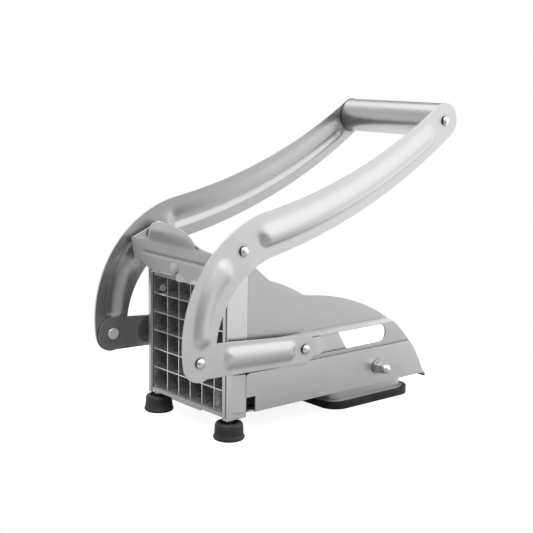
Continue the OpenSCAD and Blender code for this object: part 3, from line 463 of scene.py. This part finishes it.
def steel(name, shade, rough, grain, scratch=0.12, metal=1.0, crevice_shade=1.0):
    """Steel of one shade: its scratches run along the axis with the smallest value in grain."""
    material = bpy.data.materials.new(name)
    material.use_nodes = True
    tree = material.node_tree
    sizes = {"Stretch": grain, "Fineness": SCRATCHES_PER_M, "Cloud Size": CLOUDS_PER_M}
    brushed = add_group(tree, GRAIN, sizes)
    worn = add_group(tree, WEAR, {"Width": STEEL_WEAR_WIDTH, "Strength": 1.0})["Edge"]
    # Painted shade: a mask that falls where another piece lies close
    unshaded = add_group(tree, CREVICE_SHADE, {"Reach": CREVICE_SHADE_REACH, "Depth": crevice_shade})["Open"]
    streaks = map_range(tree, brushed["Scratches"], *NOISE_SPREAD, -1, 1)
    clouds = map_range(tree, brushed["Clouds"], *NOISE_SPREAD, -1, 1)
    tone = math_node(tree, "MULTIPLY", clouds, CLOUD_TONE)
    tone = math_node(tree, "MULTIPLY_ADD", streaks, STREAK_TONE, tone)
    tone = math_node(tree, "MULTIPLY_ADD", worn, WEAR_TONE, math_node(tree, "ADD", tone, 1.0))
    # The painted crevice shade darkens the colour
    tone = math_node(tree, "MULTIPLY", tone, unshaded)
    roughness = math_node(tree, "MULTIPLY_ADD", clouds, CLOUD_ROUGHNESS, rough)
    roughness = math_node(tree, "MULTIPLY_ADD", streaks, STREAK_ROUGHNESS, roughness)
    roughness = math_node(tree, "MULTIPLY_ADD", worn, WEAR_ROUGHNESS, roughness)
    colour = mix_colours(tree, 1.0, cool_grey(shade), tone, "MULTIPLY")
    shader = tree.nodes["Principled BSDF"]
    shader.inputs["Metallic"].default_value = metal
    feed(tree, shader.inputs["Base Color"], colour)
    feed(tree, shader.inputs["Roughness"], roughness)
    feed(tree, shader.inputs["Normal"], add_bump(tree, brushed["Scratches"], scratch, SCRATCH_DEPTH))
    return material


# Rubber and plastic
MOULD_WEAR_WIDTH = 0.8 * MM
MOULD_WEAR_STRENGTH = 0.8
MOULD_SPECULAR = 0.35
MOULD_ROUGHNESS_SPREAD = 0.06
DUST_SPREAD = (0.45, 0.75)
DUST_SHARE = 0.5
PEBBLE_BUMP = 0.15
PEBBLE_DEPTH = 0.03 * MM


def moulded(name, shade, rough, pebbles_per_m, dust_shade):
    """Moulded rubber or plastic: a pebbled skin, with paler dust here and there."""
    material = bpy.data.materials.new(name)
    material.use_nodes = True
    tree = material.node_tree
    skin = add_group(tree, SKIN, {"Grain Size": pebbles_per_m, "Dust Size": DUST_PER_M})
    worn = add_group(tree, WEAR, {"Width": MOULD_WEAR_WIDTH, "Strength": MOULD_WEAR_STRENGTH})["Edge"]
    dusty = map_range(tree, skin["Dust"], *DUST_SPREAD, 0, DUST_SHARE)
    paler = math_node(tree, "MAXIMUM", dusty, worn)
    smooth, dull = rough - MOULD_ROUGHNESS_SPREAD, rough + MOULD_ROUGHNESS_SPREAD
    colour = mix_colours(tree, paler, cool_grey(shade), cool_grey(dust_shade))
    shader = tree.nodes["Principled BSDF"]
    shader.inputs["Specular IOR Level"].default_value = MOULD_SPECULAR
    feed(tree, shader.inputs["Base Color"], colour)
    feed(tree, shader.inputs["Roughness"], map_range(tree, skin["Dust"], *NOISE_SPREAD, smooth, dull))
    feed(tree, shader.inputs["Normal"], add_bump(tree, skin["Pebbles"], PEBBLE_BUMP, PEBBLE_DEPTH))
    return material


ALONG_X = (0.02, 1, 1)
ALONG_Y = (1, 0.02, 1)
ALONG_Z = (1, 1, 0.02)
NO_GRAIN = (1, 1, 1)
# The crevice depth of each steel sets how much painted shade it gets where pieces lie close
SHEET_STEEL = steel("sheet_steel", 0.46, 0.34, ALONG_Y, crevice_shade=0.6)
UPRIGHT_STEEL = steel("upright_sheet_steel", 0.39, 0.36, ALONG_Z)
# Painted light: a lighter copy of the upright sheet steel, for the posts' brighter lit side faces
LIT_POST_STEEL = steel("post_sheet_steel_painted_light", 0.54, 0.34, ALONG_Z)
CROSS_STEEL = steel("cross_sheet_steel", 0.45, 0.38, ALONG_X)
CLAMP_STEEL = steel("clamp_steel", 0.41, 0.48, ALONG_X, metal=0.4)
ARM_STEEL = steel("arm_steel", 0.46, 0.4, ALONG_Y, scratch=0.08)
# Painted shade: a darker copy of the arm steel for the inner faces of the arms and links, standing in for
# the shade between them and the body
SHADED_INNER_STEEL = steel("inner_arm_steel_painted_shade", 0.39, 0.4, ALONG_Y, scratch=0.08)
BLADE_STEEL = steel("blade_steel", 0.7, 0.24, ALONG_X, scratch=0.03, metal=0.9, crevice_shade=0.4)
TUBE_STEEL = steel("tube_steel", 0.42, 0.32, ALONG_X, scratch=0.06)
BRIGHT_STEEL = steel("fastener_steel", 0.55, 0.2, NO_GRAIN, scratch=0.02)
BLOCK_STEEL = steel("block_steel", 0.5, 0.3, ALONG_Z)
# Painted highlight: a much brighter copy of the fastener steel, so the eyelets and link pins show as bright
# spots
LIT_EYELET_STEEL = steel("eyelet_steel_painted_highlight", 0.85, 0.3, NO_GRAIN, scratch=0.02, metal=0.6, crevice_shade=0.3)
FOOT_RUBBER = moulded("foot_rubber", 0.013, 0.45, 1500.0, 0.05)
PUSHER_PLASTIC = moulded("pusher_plastic", 0.04, 0.6, 4200.0, 0.045)
PLUG_PLASTIC = moulded("plug_plastic", 0.03, 0.45, 1900.0, 0.06)


# Pieces and their edges

CUT_EDGE_ANGLE = 40
ROUNDING_STEPS = 3
PLATE_ROUNDING_STEPS = 2
SHEET_MERGE = 0.01 * MM
RIVET_MERGE = 0.005 * MM


def round_edges(piece, edge, steps=ROUNDING_STEPS, angle=CUT_EDGE_ANGLE):
    """Soften the edges that turn by more than an angle, and shade the broad faces flat."""
    bevel = piece.modifiers.new("soft_edges", "BEVEL")
    bevel.width = edge
    bevel.segments = steps
    bevel.limit_method = "ANGLE"
    bevel.angle_limit = math.radians(angle)
    shade_by_area(piece)


def shade_by_area(piece):
    normals = piece.modifiers.new("shading", "WEIGHTED_NORMAL")
    normals.keep_sharp = True
    normals.weight = 100


def shade_smooth(mesh):
    for face in mesh.polygons:
        face.use_smooth = True


def new_mesh(name, points, faces, merge=None):
    """A mesh from points and faces. Points nearer than merge become one. Without merge it is a closed
    shape, and its faces are turned outwards."""
    mesh = bpy.data.meshes.new(name)
    mesh.from_pydata(points, [], faces)
    shape = bmesh.new()
    shape.from_mesh(mesh)
    if merge:
        bmesh.ops.remove_doubles(shape, verts=shape.verts, dist=merge)
    else:
        bmesh.ops.recalc_face_normals(shape, faces=shape.faces)
    shape.to_mesh(mesh)
    shape.free()
    return mesh


def new_piece(name, mesh, body, material):
    piece = bpy.data.objects.new(name, mesh)
    bpy.context.scene.collection.objects.link(piece)
    mesh.materials.append(material)
    shade_smooth(mesh)
    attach(piece, body)
    return piece


def grid_faces(rows, width, start=0, around=False, flipped=False):
    """Faces between rows of width points each, where around closes each row into a ring."""
    faces = []
    for i in range(rows - 1):
        row = start + i * width
        after = row + width
        for j in range(width if around else width - 1):
            beside = (j + 1) % width
            face = (row + j, after + j, after + beside, row + beside)
            faces.append(face[::-1] if flipped else face)
    return faces


def pressed_sheet(name, rows, side, thickness, edge, body, material, inner=None):
    """A sheet through rows of outer points on the +X side, or mirrored, with softened cut edges."""
    points = [(side * x, y, z) for row in rows for x, y, z in row]
    faces = grid_faces(len(rows), len(rows[0]), flipped=side < 0)
    mesh = new_mesh(name, points, faces, SHEET_MERGE)
    piece = new_piece(name, mesh, body, material)
    thick = piece.modifiers.new("thickness", "SOLIDIFY")
    thick.thickness = thickness
    thick.offset = -1
    # The inner faces get their own material. The arms and links pass a darker, painted-shade copy of their
    # steel
    if inner:
        mesh.materials.append(inner)
        thick.material_offset = 1
    round_edges(piece, edge)
    return piece


def closed_plate(name, first, second, body, material, edge):
    """A closed piece between two outlines whose points match."""
    count = len(first)
    faces = [tuple(range(count)), tuple(range(2 * count - 1, count - 1, -1))]
    faces += [(k, k + count, (k + 1) % count + count, (k + 1) % count) for k in range(count)]
    piece = new_piece(name, new_mesh(name, first + second, faces), body, material)
    round_edges(piece, edge, PLATE_ROUNDING_STEPS)


def upright_plate(name, outline, side, inner, outer, body, material, edge):
    """A plate across X from inner to outer, or mirrored, with its outline in the side view."""
    first, second = ([(side * x, place[0], place[1]) for place in outline] for x in (inner, outer))
    closed_plate(name, first, second, body, material, edge)


# CAD nodes that keep their shape: each gets its finish, softened edges and smooth curves

WELD_GAP = 0.001 * MM
FLAT_ANGLE = 0.5
FOLD_ANGLE = 28
SHEET_EDGE = 0.15 * MM
POST_EDGE = 0.5 * MM
BLOCK_EDGE = 1.1 * MM
FINISHES = {
    LIT_POST_STEEL: ["post_right", "post_left"],
    UPRIGHT_STEEL: ["side_plate_right", "side_plate_left"],
    SHEET_STEEL: ["base_channel", "rear_foot_pan", "pusher_carriage"],
    CROSS_STEEL: ["front_sill"],
    BLADE_STEEL: ["blade_frame", "blades_upright", "blades_level"],
    TUBE_STEEL: ["grip_tube"],
    LIT_EYELET_STEEL: ["frame_rivets", "link_pins"],
    BRIGHT_STEEL: ["foot_screws", "foot_nuts", "cross_bolt", "bolt_washers", "cap_nuts",
                   "fulcrum_bushes", "head_screws", "pan_spacers"],
    BLOCK_STEEL: ["slide_block_right", "slide_block_left"],
    FOOT_RUBBER: ["front_foot_right", "front_foot_left", "rear_pad"],
    PUSHER_PLASTIC: ["pusher_head"],
    PLUG_PLASTIC: ["grip_plugs"],
}
EDGES = {LIT_POST_STEEL: POST_EDGE, BLOCK_STEEL: BLOCK_EDGE}


def dress(node, material, edge):
    piece = nodes[node]
    piece.data.materials.clear()
    piece.data.materials.append(material)
    weld = piece.modifiers.new("weld", "WELD")
    weld.merge_threshold = WELD_GAP
    flat = piece.modifiers.new("flat_faces", "DECIMATE")
    flat.decimate_type = "DISSOLVE"
    flat.angle_limit = math.radians(FLAT_ANGLE)
    flat.delimit = {"SHARP"}
    round_edges(piece, edge, angle=FOLD_ANGLE)
    shade_smooth(piece.data)


def dress_nodes():
    for material, names in FINISHES.items():
        for name in names:
            dress(name, material, EDGES.get(material, SHEET_EDGE))


# Pressed ribs and round-ended strips

ROUND_END_STEP = 9


def raised(s, t, ends, centre, half, corner, height, crease, tilt=0.0):
    """Height of a pressed rib at s along a sheet and t across it.

    The rib is a pillow with round corners. Crease softens its border, and tilt lifts its left side.
    """
    start, end = ends
    along = abs(s - (start + end) / 2) - (end - start) / 2 + corner
    across = abs(t - centre) - half + corner
    outside = math.hypot(max(along, 0), max(across, 0)) + min(max(along, across), 0) - corner
    inside = (math.sqrt(outside * outside + crease * crease) - outside) / 2
    share = min(inside / half, 1)
    return height * (1 - (1 - share) ** 2) * (1 + tilt * clamped((t - centre) / half, -1.0))


def round_end(radius, past):
    """Half width of a round end, at a distance past its centre."""
    return math.sqrt(max(radius ** 2 - past ** 2, 0))


def strip_stations(length, low_end, high_end, count):
    """Places along a strip between two pivots, with close steps round its two ends."""
    turns = [math.radians(angle) for angle in range(90, 0, -ROUND_END_STEP)]
    before = [-low_end * math.sin(turn) for turn in turns]
    after = [length + high_end * math.sin(turn) for turn in reversed(turns)]
    return before + spaced(0, length, count) + after


# The arms: a bent leg below the fulcrum and a long upper arm that bends back

ARM_SHEET = 1.2 * MM
ARM_CUT_EDGE = 0.35 * MM
ARM_PIN_HEAD = 1.5 * MM
ARM_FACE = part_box("arm_pins")[1].x - ARM_PIN_HEAD
# How far an arm leans in from the fulcrum to the grip
ARM_LEAN = 2.3 * MM
FULCRUM = joint_place("handle_swing")
LEG_RADIUS = 68.2 * MM
LEG_START = 95.6
LEG_TURN = 84.6
FULCRUM_TURN = 64.5
UPPER_RADIUS = 427 * MM
UPPER_TURN = 23.3
LOW_HALF = 11.9 * MM
MID_HALF = 14.6 * MM
HIGH_HALF = 12.4 * MM
LEG_CENTRE = FULCRUM - LEG_RADIUS * left_of(LEG_START - FULCRUM_TURN)
LOW_PIVOT = LEG_CENTRE + LEG_RADIUS * left_of(LEG_START)
LEG_LENGTH = LEG_RADIUS * math.radians(LEG_TURN)
ELBOW_AIM = LEG_START - LEG_TURN
UPPER_CENTRE = LEG_CENTRE + (LEG_RADIUS + UPPER_RADIUS) * left_of(ELBOW_AIM)
ARM_LENGTH = LEG_LENGTH + UPPER_RADIUS * math.radians(UPPER_TURN)
FULCRUM_ALONG = LEG_RADIUS * math.radians(FULCRUM_TURN)
ARM_STEPS = (190, 44)

# The ribs: where each starts and ends along the arm, and its half width, place and form across it
ARM_RIB_HEIGHT = 2.7 * MM
LEG_RIB = (9.5 * MM, 64 * MM)
LEG_RIB_HALF = (6.2 * MM, 7.4 * MM)
LEG_RIB_CENTRE = (-2.2 * MM, 0.8 * MM)
LEG_RIB_DRIFT = 1.7
LEG_RIB_CORNER_SHARE = 0.96
LEG_RIB_HEIGHT_SHARE = 0.95
LEG_RIB_CREASE = 0.8 * MM
LEG_RIB_TILT = 0.4
UPPER_RIB = (91.5 * MM, 261.5 * MM)
UPPER_RIB_HALF = 7.4 * MM
UPPER_RIB_CENTRE = 0.3 * MM
UPPER_RIB_CORNER_SHARE = 0.85
UPPER_RIB_CREASE = (0.4 * MM, 2.2 * MM)
UPPER_RIB_SHARP_SHARE = -0.1
UPPER_RIB_TILT = -0.45


def arm_line(s):
    """Point and aim of the arm's centre line, s from the lower pivot."""
    if s < LEG_LENGTH:
        aim = LEG_START - math.degrees(max(s, 0) / LEG_RADIUS)
        point = LEG_CENTRE + LEG_RADIUS * left_of(aim)
    else:
        aim = ELBOW_AIM + math.degrees((min(s, ARM_LENGTH) - LEG_LENGTH) / UPPER_RADIUS)
        point = UPPER_CENTRE - UPPER_RADIUS * left_of(aim)
    return point + (min(s, 0) + max(s - ARM_LENGTH, 0)) * direction(aim), aim


def upper_share(s):
    """How far s lies on the way from the fulcrum to the grip."""
    return (s - FULCRUM_ALONG) / (ARM_LENGTH - FULCRUM_ALONG)


def arm_half(s):
    if s < 0:
        return round_end(LOW_HALF, s)
    if s < FULCRUM_ALONG:
        return mixed(eased(s / FULCRUM_ALONG), LOW_HALF, MID_HALF)
    if s < ARM_LENGTH:
        return mixed(upper_share(s), MID_HALF, HIGH_HALF)
    return round_end(HIGH_HALF, s - ARM_LENGTH)


def arm_lift(s, t):
    """Height of the arm's ribs. The leg's rib widens and moves to the left on its way up."""
    share = clamped((s - LEG_RIB[0]) / (LEG_RIB[1] - LEG_RIB[0]))
    half = mixed(share, *LEG_RIB_HALF)
    centre = mixed(clamped(share * LEG_RIB_DRIFT), *LEG_RIB_CENTRE)
    leg = raised(s, t, LEG_RIB, centre, half, LEG_RIB_CORNER_SHARE * half,
                 LEG_RIB_HEIGHT_SHARE * ARM_RIB_HEIGHT, LEG_RIB_CREASE, LEG_RIB_TILT)
    crease = mixed(clamped(t / UPPER_RIB_HALF, UPPER_RIB_SHARP_SHARE), *UPPER_RIB_CREASE)
    upper = raised(s, t, UPPER_RIB, UPPER_RIB_CENTRE, UPPER_RIB_HALF,
                   UPPER_RIB_CORNER_SHARE * UPPER_RIB_HALF, ARM_RIB_HEIGHT, crease, UPPER_RIB_TILT)
    return max(leg, upper)


def make_arm(hand):
    along, across = ARM_STEPS
    rows = []
    for s in strip_stations(ARM_LENGTH, LOW_HALF, HIGH_HALF, along):
        point, aim = arm_line(s)
        lean = ARM_LEAN * eased(clamped(upper_share(s)))
        row = []
        for share in spaced(-1, 1, across):
            t = share * arm_half(s)
            place = point + t * left_of(aim)
            row.append((ARM_FACE + arm_lift(s, t) - lean, place.x, place.y))
        rows.append(row)
    piece = pressed_sheet("arm_pressing_" + hand, rows, SIDES[hand], ARM_SHEET, ARM_CUT_EDGE, "handle",
                          ARM_STEEL, SHADED_INNER_STEEL)
    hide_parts("arm_" + hand)


# The links, with one pressed panel between their pivots

SLIDE_PIVOT = joint_place("link_swing")
LINK_LINE = SLIDE_PIVOT - LOW_PIVOT
LINK_LENGTH = LINK_LINE.length
LINK_AIM = math.degrees(math.atan2(LINK_LINE.y, LINK_LINE.x))
LINK_FRONT = 11 * MM
LINK_REAR = 9.2 * MM
LINK_SHEET = 1.2 * MM
LINK_CUT_EDGE = 0.3 * MM
LINK_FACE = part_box("link_right")[0].x + LINK_SHEET
LINK_PANEL = (19.8 * MM, 77.4 * MM)
LINK_PANEL_HALF = (7.1 * MM, 6.3 * MM)
LINK_PANEL_CENTRE = 0.2 * MM
LINK_PANEL_CORNER = 4.6 * MM
LINK_PANEL_HEIGHT = 1.8 * MM
LINK_PANEL_CREASE = 0.7 * MM
LINK_STEPS = (110, 40)


def link_half(s):
    if s < 0:
        return round_end(LINK_FRONT, s)
    if s < LINK_LENGTH:
        return mixed(s / LINK_LENGTH, LINK_FRONT, LINK_REAR)
    return round_end(LINK_REAR, s - LINK_LENGTH)


def make_link(hand):
    along, across = LINK_STEPS
    rows = []
    for s in strip_stations(LINK_LENGTH, LINK_FRONT, LINK_REAR, along):
        panel_half = mixed(clamped(s / LINK_LENGTH), *LINK_PANEL_HALF)
        row = []
        for share in spaced(-1, 1, across):
            t = share * link_half(s)
            place = LOW_PIVOT + s * direction(LINK_AIM) + t * left_of(LINK_AIM)
            lift = raised(s, t, LINK_PANEL, LINK_PANEL_CENTRE, panel_half, LINK_PANEL_CORNER,
                          LINK_PANEL_HEIGHT, LINK_PANEL_CREASE)
            row.append((LINK_FACE + lift, place.x, place.y))
        rows.append(row)
    piece = pressed_sheet("link_pressing_" + hand, rows, SIDES[hand], LINK_SHEET, LINK_CUT_EDGE, "links",
                          ARM_STEEL, SHADED_INNER_STEEL)
    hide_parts("link_" + hand)


# The blade clamp: a leaning plate with a thumb tongue, a groove, a pressed bulb, a press tab and two cheeks

CLAMP_SHEET = 1.2 * MM
CLAMP_CUT_EDGE = 0.3 * MM
CLAMP_LEAN = 10.1
CLAMP_TOP = Vector((FULCRUM.x - 17.9 * MM, 119.6 * MM))
CLAMP_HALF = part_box("blade_clamp")[1].x
CLAMP_EAR = 14.6 * MM
CLAMP_FOOT = 19.6 * MM
CLAMP_FOOT_HALF = 29.3 * MM
CLAMP_FOOT_ROUND = 6 * MM
CLAMP_NOTCH_STEP = 0.01 * MM
CLAMP_STEPS = (18, 36, 36, 96)
# The tongue rises from the plate's top as half an oval and curls, with a rim round its hollow
TONGUE_HALF = 24.6 * MM
TONGUE_FLARE = 4.5 * MM
TONGUE_CURL = 18.4 * MM
TONGUE_ANGLE = 60
TONGUE_TOP = TONGUE_CURL * math.sin(math.radians(TONGUE_ANGLE))
TONGUE_CURL_SHARE = 0.7
TONGUE_RISE_SHARE = 0.78
TONGUE_RISE_LEAST = 0.1 * MM
TONGUE_RIM_SHARE = 0.7
TONGUE_RIM_SLOPE = 0.35
GROOVE = (-34 * MM, 33 * MM)
GROOVE_UP = -8.4 * MM
GROOVE_HALF = 1.6 * MM
GROOVE_DEPTH = 1.1 * MM
GROOVE_CREASE = 0.3 * MM
BULB_ACROSS = -0.8 * MM
BULB_UP = -15.8 * MM
BULB_RADIUS = 4.6 * MM
BULB_HEIGHT = 2.6 * MM
# The press tab: its two ends across, the line where it folds forward, and how far it hangs
TAB_START = 1.5 * MM
TAB_END = 19 * MM
TAB_FOLD = 15.5 * MM
TAB_FOLD_SLOPE = 0.32
TAB_OUT_SLOPE = 0.9
TAB_BLENDS = (2 * MM, 4 * MM)
TAB_HANG = 16 * MM
TAB_HANG_START = 2 * MM
TAB_HANG_BLENDS = (2 * MM, 9 * MM)
TAB_HANG_SHARE = 0.9
CHEEK_ROUND = 5.8 * MM
CHEEK_TURN = 100
CHEEK_TURN_STEP = 10
CHEEK_SINK = 0.3 * MM
CHEEK_EDGE = 0.2 * MM


def clamp_place(x, h, back):
    """Point of the clamp: x across, h up its front face from the cheeks' top, and back behind the face."""
    place = CLAMP_TOP + h * left_of(CLAMP_LEAN) + back * direction(CLAMP_LEAN)
    return (x, place.x, place.y)


def clamp_half(h):
    """Half width at h: the tongue with a flare at its root, the plate, and the foot with round corners."""
    if h > 0:
        flare = (CLAMP_HALF - TONGUE_HALF) * clamped(1 - h / TONGUE_FLARE) ** 3
        return TONGUE_HALF * math.sqrt(clamped(1 - (h / TONGUE_TOP) ** 2)) + flare
    if h > -CLAMP_EAR:
        return CLAMP_HALF
    share = eased(clamped((-h - CLAMP_EAR) / CLAMP_FOOT_ROUND))
    return mixed(1 - share, CLAMP_FOOT_HALF, CLAMP_HALF - CLAMP_FOOT_ROUND)


def tongue_back(x, h):
    rim = TONGUE_TOP * math.sqrt(clamped(1 - (x / TONGUE_HALF) ** 2))
    curl = TONGUE_CURL - math.sqrt(TONGUE_CURL ** 2 - rim * rim)
    rise = clamped(h / (TONGUE_RISE_SHARE * rim + TONGUE_RISE_LEAST))
    hollow = TONGUE_CURL_SHARE * curl * rise * rise * (3 - 2 * rise)
    return TONGUE_RIM_SLOPE * max(h - TONGUE_RIM_SHARE * rim, 0) - hollow


def plate_back(x, h):
    """The press tab where it folds forward, and elsewhere the groove and the bulb."""
    below = -TAB_FOLD - TAB_FOLD_SLOPE * x - h
    if TAB_START < x < TAB_END and below > 0:
        near, far = TAB_BLENDS
        return -TAB_OUT_SLOPE * below * clamped((x - TAB_START) / near) * clamped((TAB_END - x) / far)
    groove = raised(x, h, GROOVE, GROOVE_UP, GROOVE_HALF, GROOVE_HALF, GROOVE_DEPTH, GROOVE_CREASE)
    bulb = clamped(1 - math.hypot(x - BULB_ACROSS, h - BULB_UP) / BULB_RADIUS)
    return groove - BULB_HEIGHT * bulb * (2 - bulb)


def tab_drop(x, h):
    """How much the press tab lengthens the plate's foot."""
    near, far = TAB_HANG_BLENDS
    share = clamped((x - TAB_HANG_START) / near) * clamped((TAB_END - x) / far)
    return TAB_HANG_SHARE * share * min(h + TAB_HANG, 0)


def make_clamp_plate():
    foot_steps, plate_steps, tongue_steps, across = CLAMP_STEPS
    heights = spaced(-CLAMP_FOOT, -CLAMP_EAR - CLAMP_NOTCH_STEP, foot_steps)
    heights += spaced(-CLAMP_EAR, 0, plate_steps)
    heights += [TONGUE_TOP * eased(share) for share in spaced(0, 1, tongue_steps)[1:]]
    rows = []
    for h in heights:
        row = []
        for share in spaced(-1, 1, across):
            x = share * clamp_half(h)
            back = tongue_back(x, h) if h > 0 else plate_back(x, h)
            row.append(clamp_place(x, h + tab_drop(x, h), back))
        rows.append(row)
    plate = pressed_sheet("clamp_pressing", rows, 1, CLAMP_SHEET, CLAMP_CUT_EDGE, "clamp", CLAMP_STEEL)
    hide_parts("blade_clamp")


def make_clamp_cheeks():
    """Each cheek joins the plate's edge to a round eye on the fulcrum."""
    outline = [Vector(clamp_place(0, h, CHEEK_SINK)).yz for h in (-CLAMP_EAR, 0)]
    angles = range(CHEEK_TURN, -CHEEK_TURN - 1, -CHEEK_TURN_STEP)
    outline += [FULCRUM + CHEEK_ROUND * direction(angle) for angle in angles]
    for hand, side in SIDES.items():
        upright_plate("clamp_cheek_" + hand, outline, side, CLAMP_HALF - CLAMP_SHEET, CLAMP_HALF, "clamp",
                      CLAMP_STEEL, CHEEK_EDGE)


# Rivets, turned about lines along X

RING_POINTS = 48
HEAD_RADIUS = 3.1 * MM
HEAD_HEIGHT = 2.2 * MM
HEAD_CHAMFER = 0.1 * MM
HEAD_NECK_SHARE = 0.72
HEAD_GAP_SHARE = 0.25
HEAD_RIM_SHARE = 0.45
HEAD_CLEARANCE = 0.05 * MM
HEAD_TURN_STEP = 10
TAIL_HEIGHT = 0.8 * MM
FULCRUM_TAIL_FACE = 40.8 * MM
FULCRUM_TAIL_RADIUS = 4.1 * MM
FULCRUM_SHANK = 2.5 * MM
SLIDE_RIVET_LENGTH = 7.3 * MM
SLIDE_TAIL_RADIUS = 3.4 * MM
LINK_SHANK = 2.2 * MM
GRIP_SHANK = 2.5 * MM


def domed_head(face):
    """Profile of a rivet's head: a short neck on the plate's face, a small gap and a dome."""
    neck = HEAD_NECK_SHARE * HEAD_RADIUS
    under = face + HEAD_GAP_SHARE * HEAD_HEIGHT
    rim = face + HEAD_RIM_SHARE * HEAD_HEIGHT
    rise = (1 - HEAD_RIM_SHARE) * HEAD_HEIGHT
    turns = [math.radians(angle) for angle in range(0, 91, HEAD_TURN_STEP)]
    foot = [(neck, face), (neck, under)]
    edge = [(HEAD_RADIUS - HEAD_CHAMFER, under), (HEAD_RADIUS, under + HEAD_CHAMFER)]
    return foot + edge + [(HEAD_RADIUS * math.cos(turn), rim + rise * math.sin(turn)) for turn in turns]


def flat_tail(face, tail, shank):
    """Profile of a rivet's flat tail and the start of its shank, from its inner face out."""
    return [(0, face), (tail, face), (tail, face + TAIL_HEIGHT), (shank, face + TAIL_HEIGHT)]


def turned_pair(name, node, body, centre, profile):
    """Two mirrored rivets, turned about a line through centre. Each pair of the profile is radius and X."""
    points = []
    faces = []
    for side in SIDES.values():
        faces += grid_faces(len(profile), RING_POINTS, len(points), around=True, flipped=side > 0)
        for radius, x in profile:
            for k in range(RING_POINTS):
                place = centre + radius * direction(360 * k / RING_POINTS)
                points.append((side * x, place.x, place.y))
    mesh = new_mesh(name, points, faces, RIVET_MERGE)
    piece = new_piece(name, mesh, body, BRIGHT_STEEL)
    shade_by_area(piece)
    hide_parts(node)


def make_rivets():
    fulcrum_tail = flat_tail(FULCRUM_TAIL_FACE, FULCRUM_TAIL_RADIUS, FULCRUM_SHANK)
    turned_pair("fulcrum_rivets", "fulcrum_pins", "root", FULCRUM,
                fulcrum_tail + domed_head(ARM_FACE + HEAD_CLEARANCE))
    arm_back = ARM_FACE - ARM_SHEET
    turned_pair("lower_rivets", "arm_pins", "handle", LOW_PIVOT,
                [(0, arm_back), (LINK_SHANK, arm_back)] + domed_head(ARM_FACE))
    slide_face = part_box("slide_pins")[1].x - SLIDE_RIVET_LENGTH
    slide_tail = flat_tail(slide_face, SLIDE_TAIL_RADIUS, LINK_SHANK)
    turned_pair("slide_rivets", "slide_pins", "pusher", SLIDE_PIVOT,
                slide_tail + domed_head(LINK_FACE + HEAD_CLEARANCE))
    low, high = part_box("grip_rod")
    turned_pair("grip_rivets", "grip_rod", "handle", ((low + high) / 2).yz,
                [(0, 0), (GRIP_SHANK, 0)] + domed_head(ARM_FACE - ARM_LEAN))


# The posts' front lips, and the swell of each post's foot that meets the skirt

LIP_ACROSS = (38.7 * MM, 41.5 * MM)
LIP_HEIGHTS = (14.5 * MM, 96.5 * MM)
LIP_OUT = 0.6 * MM
LIP_SINK = 0.3 * MM
LIP_EDGE = 0.2 * MM
SWELL_HEIGHTS = (17.5 * MM, 41.8 * MM)
SWELL_LENGTH = 9 * MM
SWELL_SINK = 0.4 * MM
SWELL_STEP = 0.01 * MM
SWELL_GAP = 0.05 * MM
SWELL_INSET = 0.3 * MM
SWELL_EDGE = 0.15 * MM


def make_post_details():
    post_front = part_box("post_right")[0].y
    post_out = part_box("post_right")[1].x
    skirt_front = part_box("base_channel")[0].y
    skirt_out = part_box("base_channel")[1].x
    front, back = post_front - LIP_OUT, post_front + LIP_SINK
    foot, top = LIP_HEIGHTS
    lip = [(front, foot), (back, foot), (back, top), (front, top)]
    start, end = skirt_front - SWELL_LENGTH, skirt_front - SWELL_GAP
    inner = post_out - SWELL_SINK
    wedge = [(inner, start), (post_out + SWELL_STEP, start), (skirt_out - SWELL_INSET, end), (inner, end)]
    for hand, side in SIDES.items():
        upright_plate("post_lip_" + hand, lip, side, *LIP_ACROSS, "root", LIT_POST_STEEL, LIP_EDGE)
        low, high = ([(side * x, y, z) for x, y in wedge] for z in SWELL_HEIGHTS)
        closed_plate("post_swell_" + hand, low, high, "root", LIT_POST_STEEL, SWELL_EDGE)


def main():
    make_camera()
    make_world()
    make_floor()
    make_lamp("key", KEY_PLACE, KEY_WIDTH, KEY_WATTS)
    make_lamp("fill", FILL_PLACE, FILL_WIDTH, FILL_WATTS)
    dress_nodes()
    for hand in SIDES:
        make_arm(hand)
        make_link(hand)
    make_clamp_plate()
    make_clamp_cheeks()
    make_rivets()
    make_post_details()
    bpy.context.scene.view_settings.view_transform = "Standard"


main()
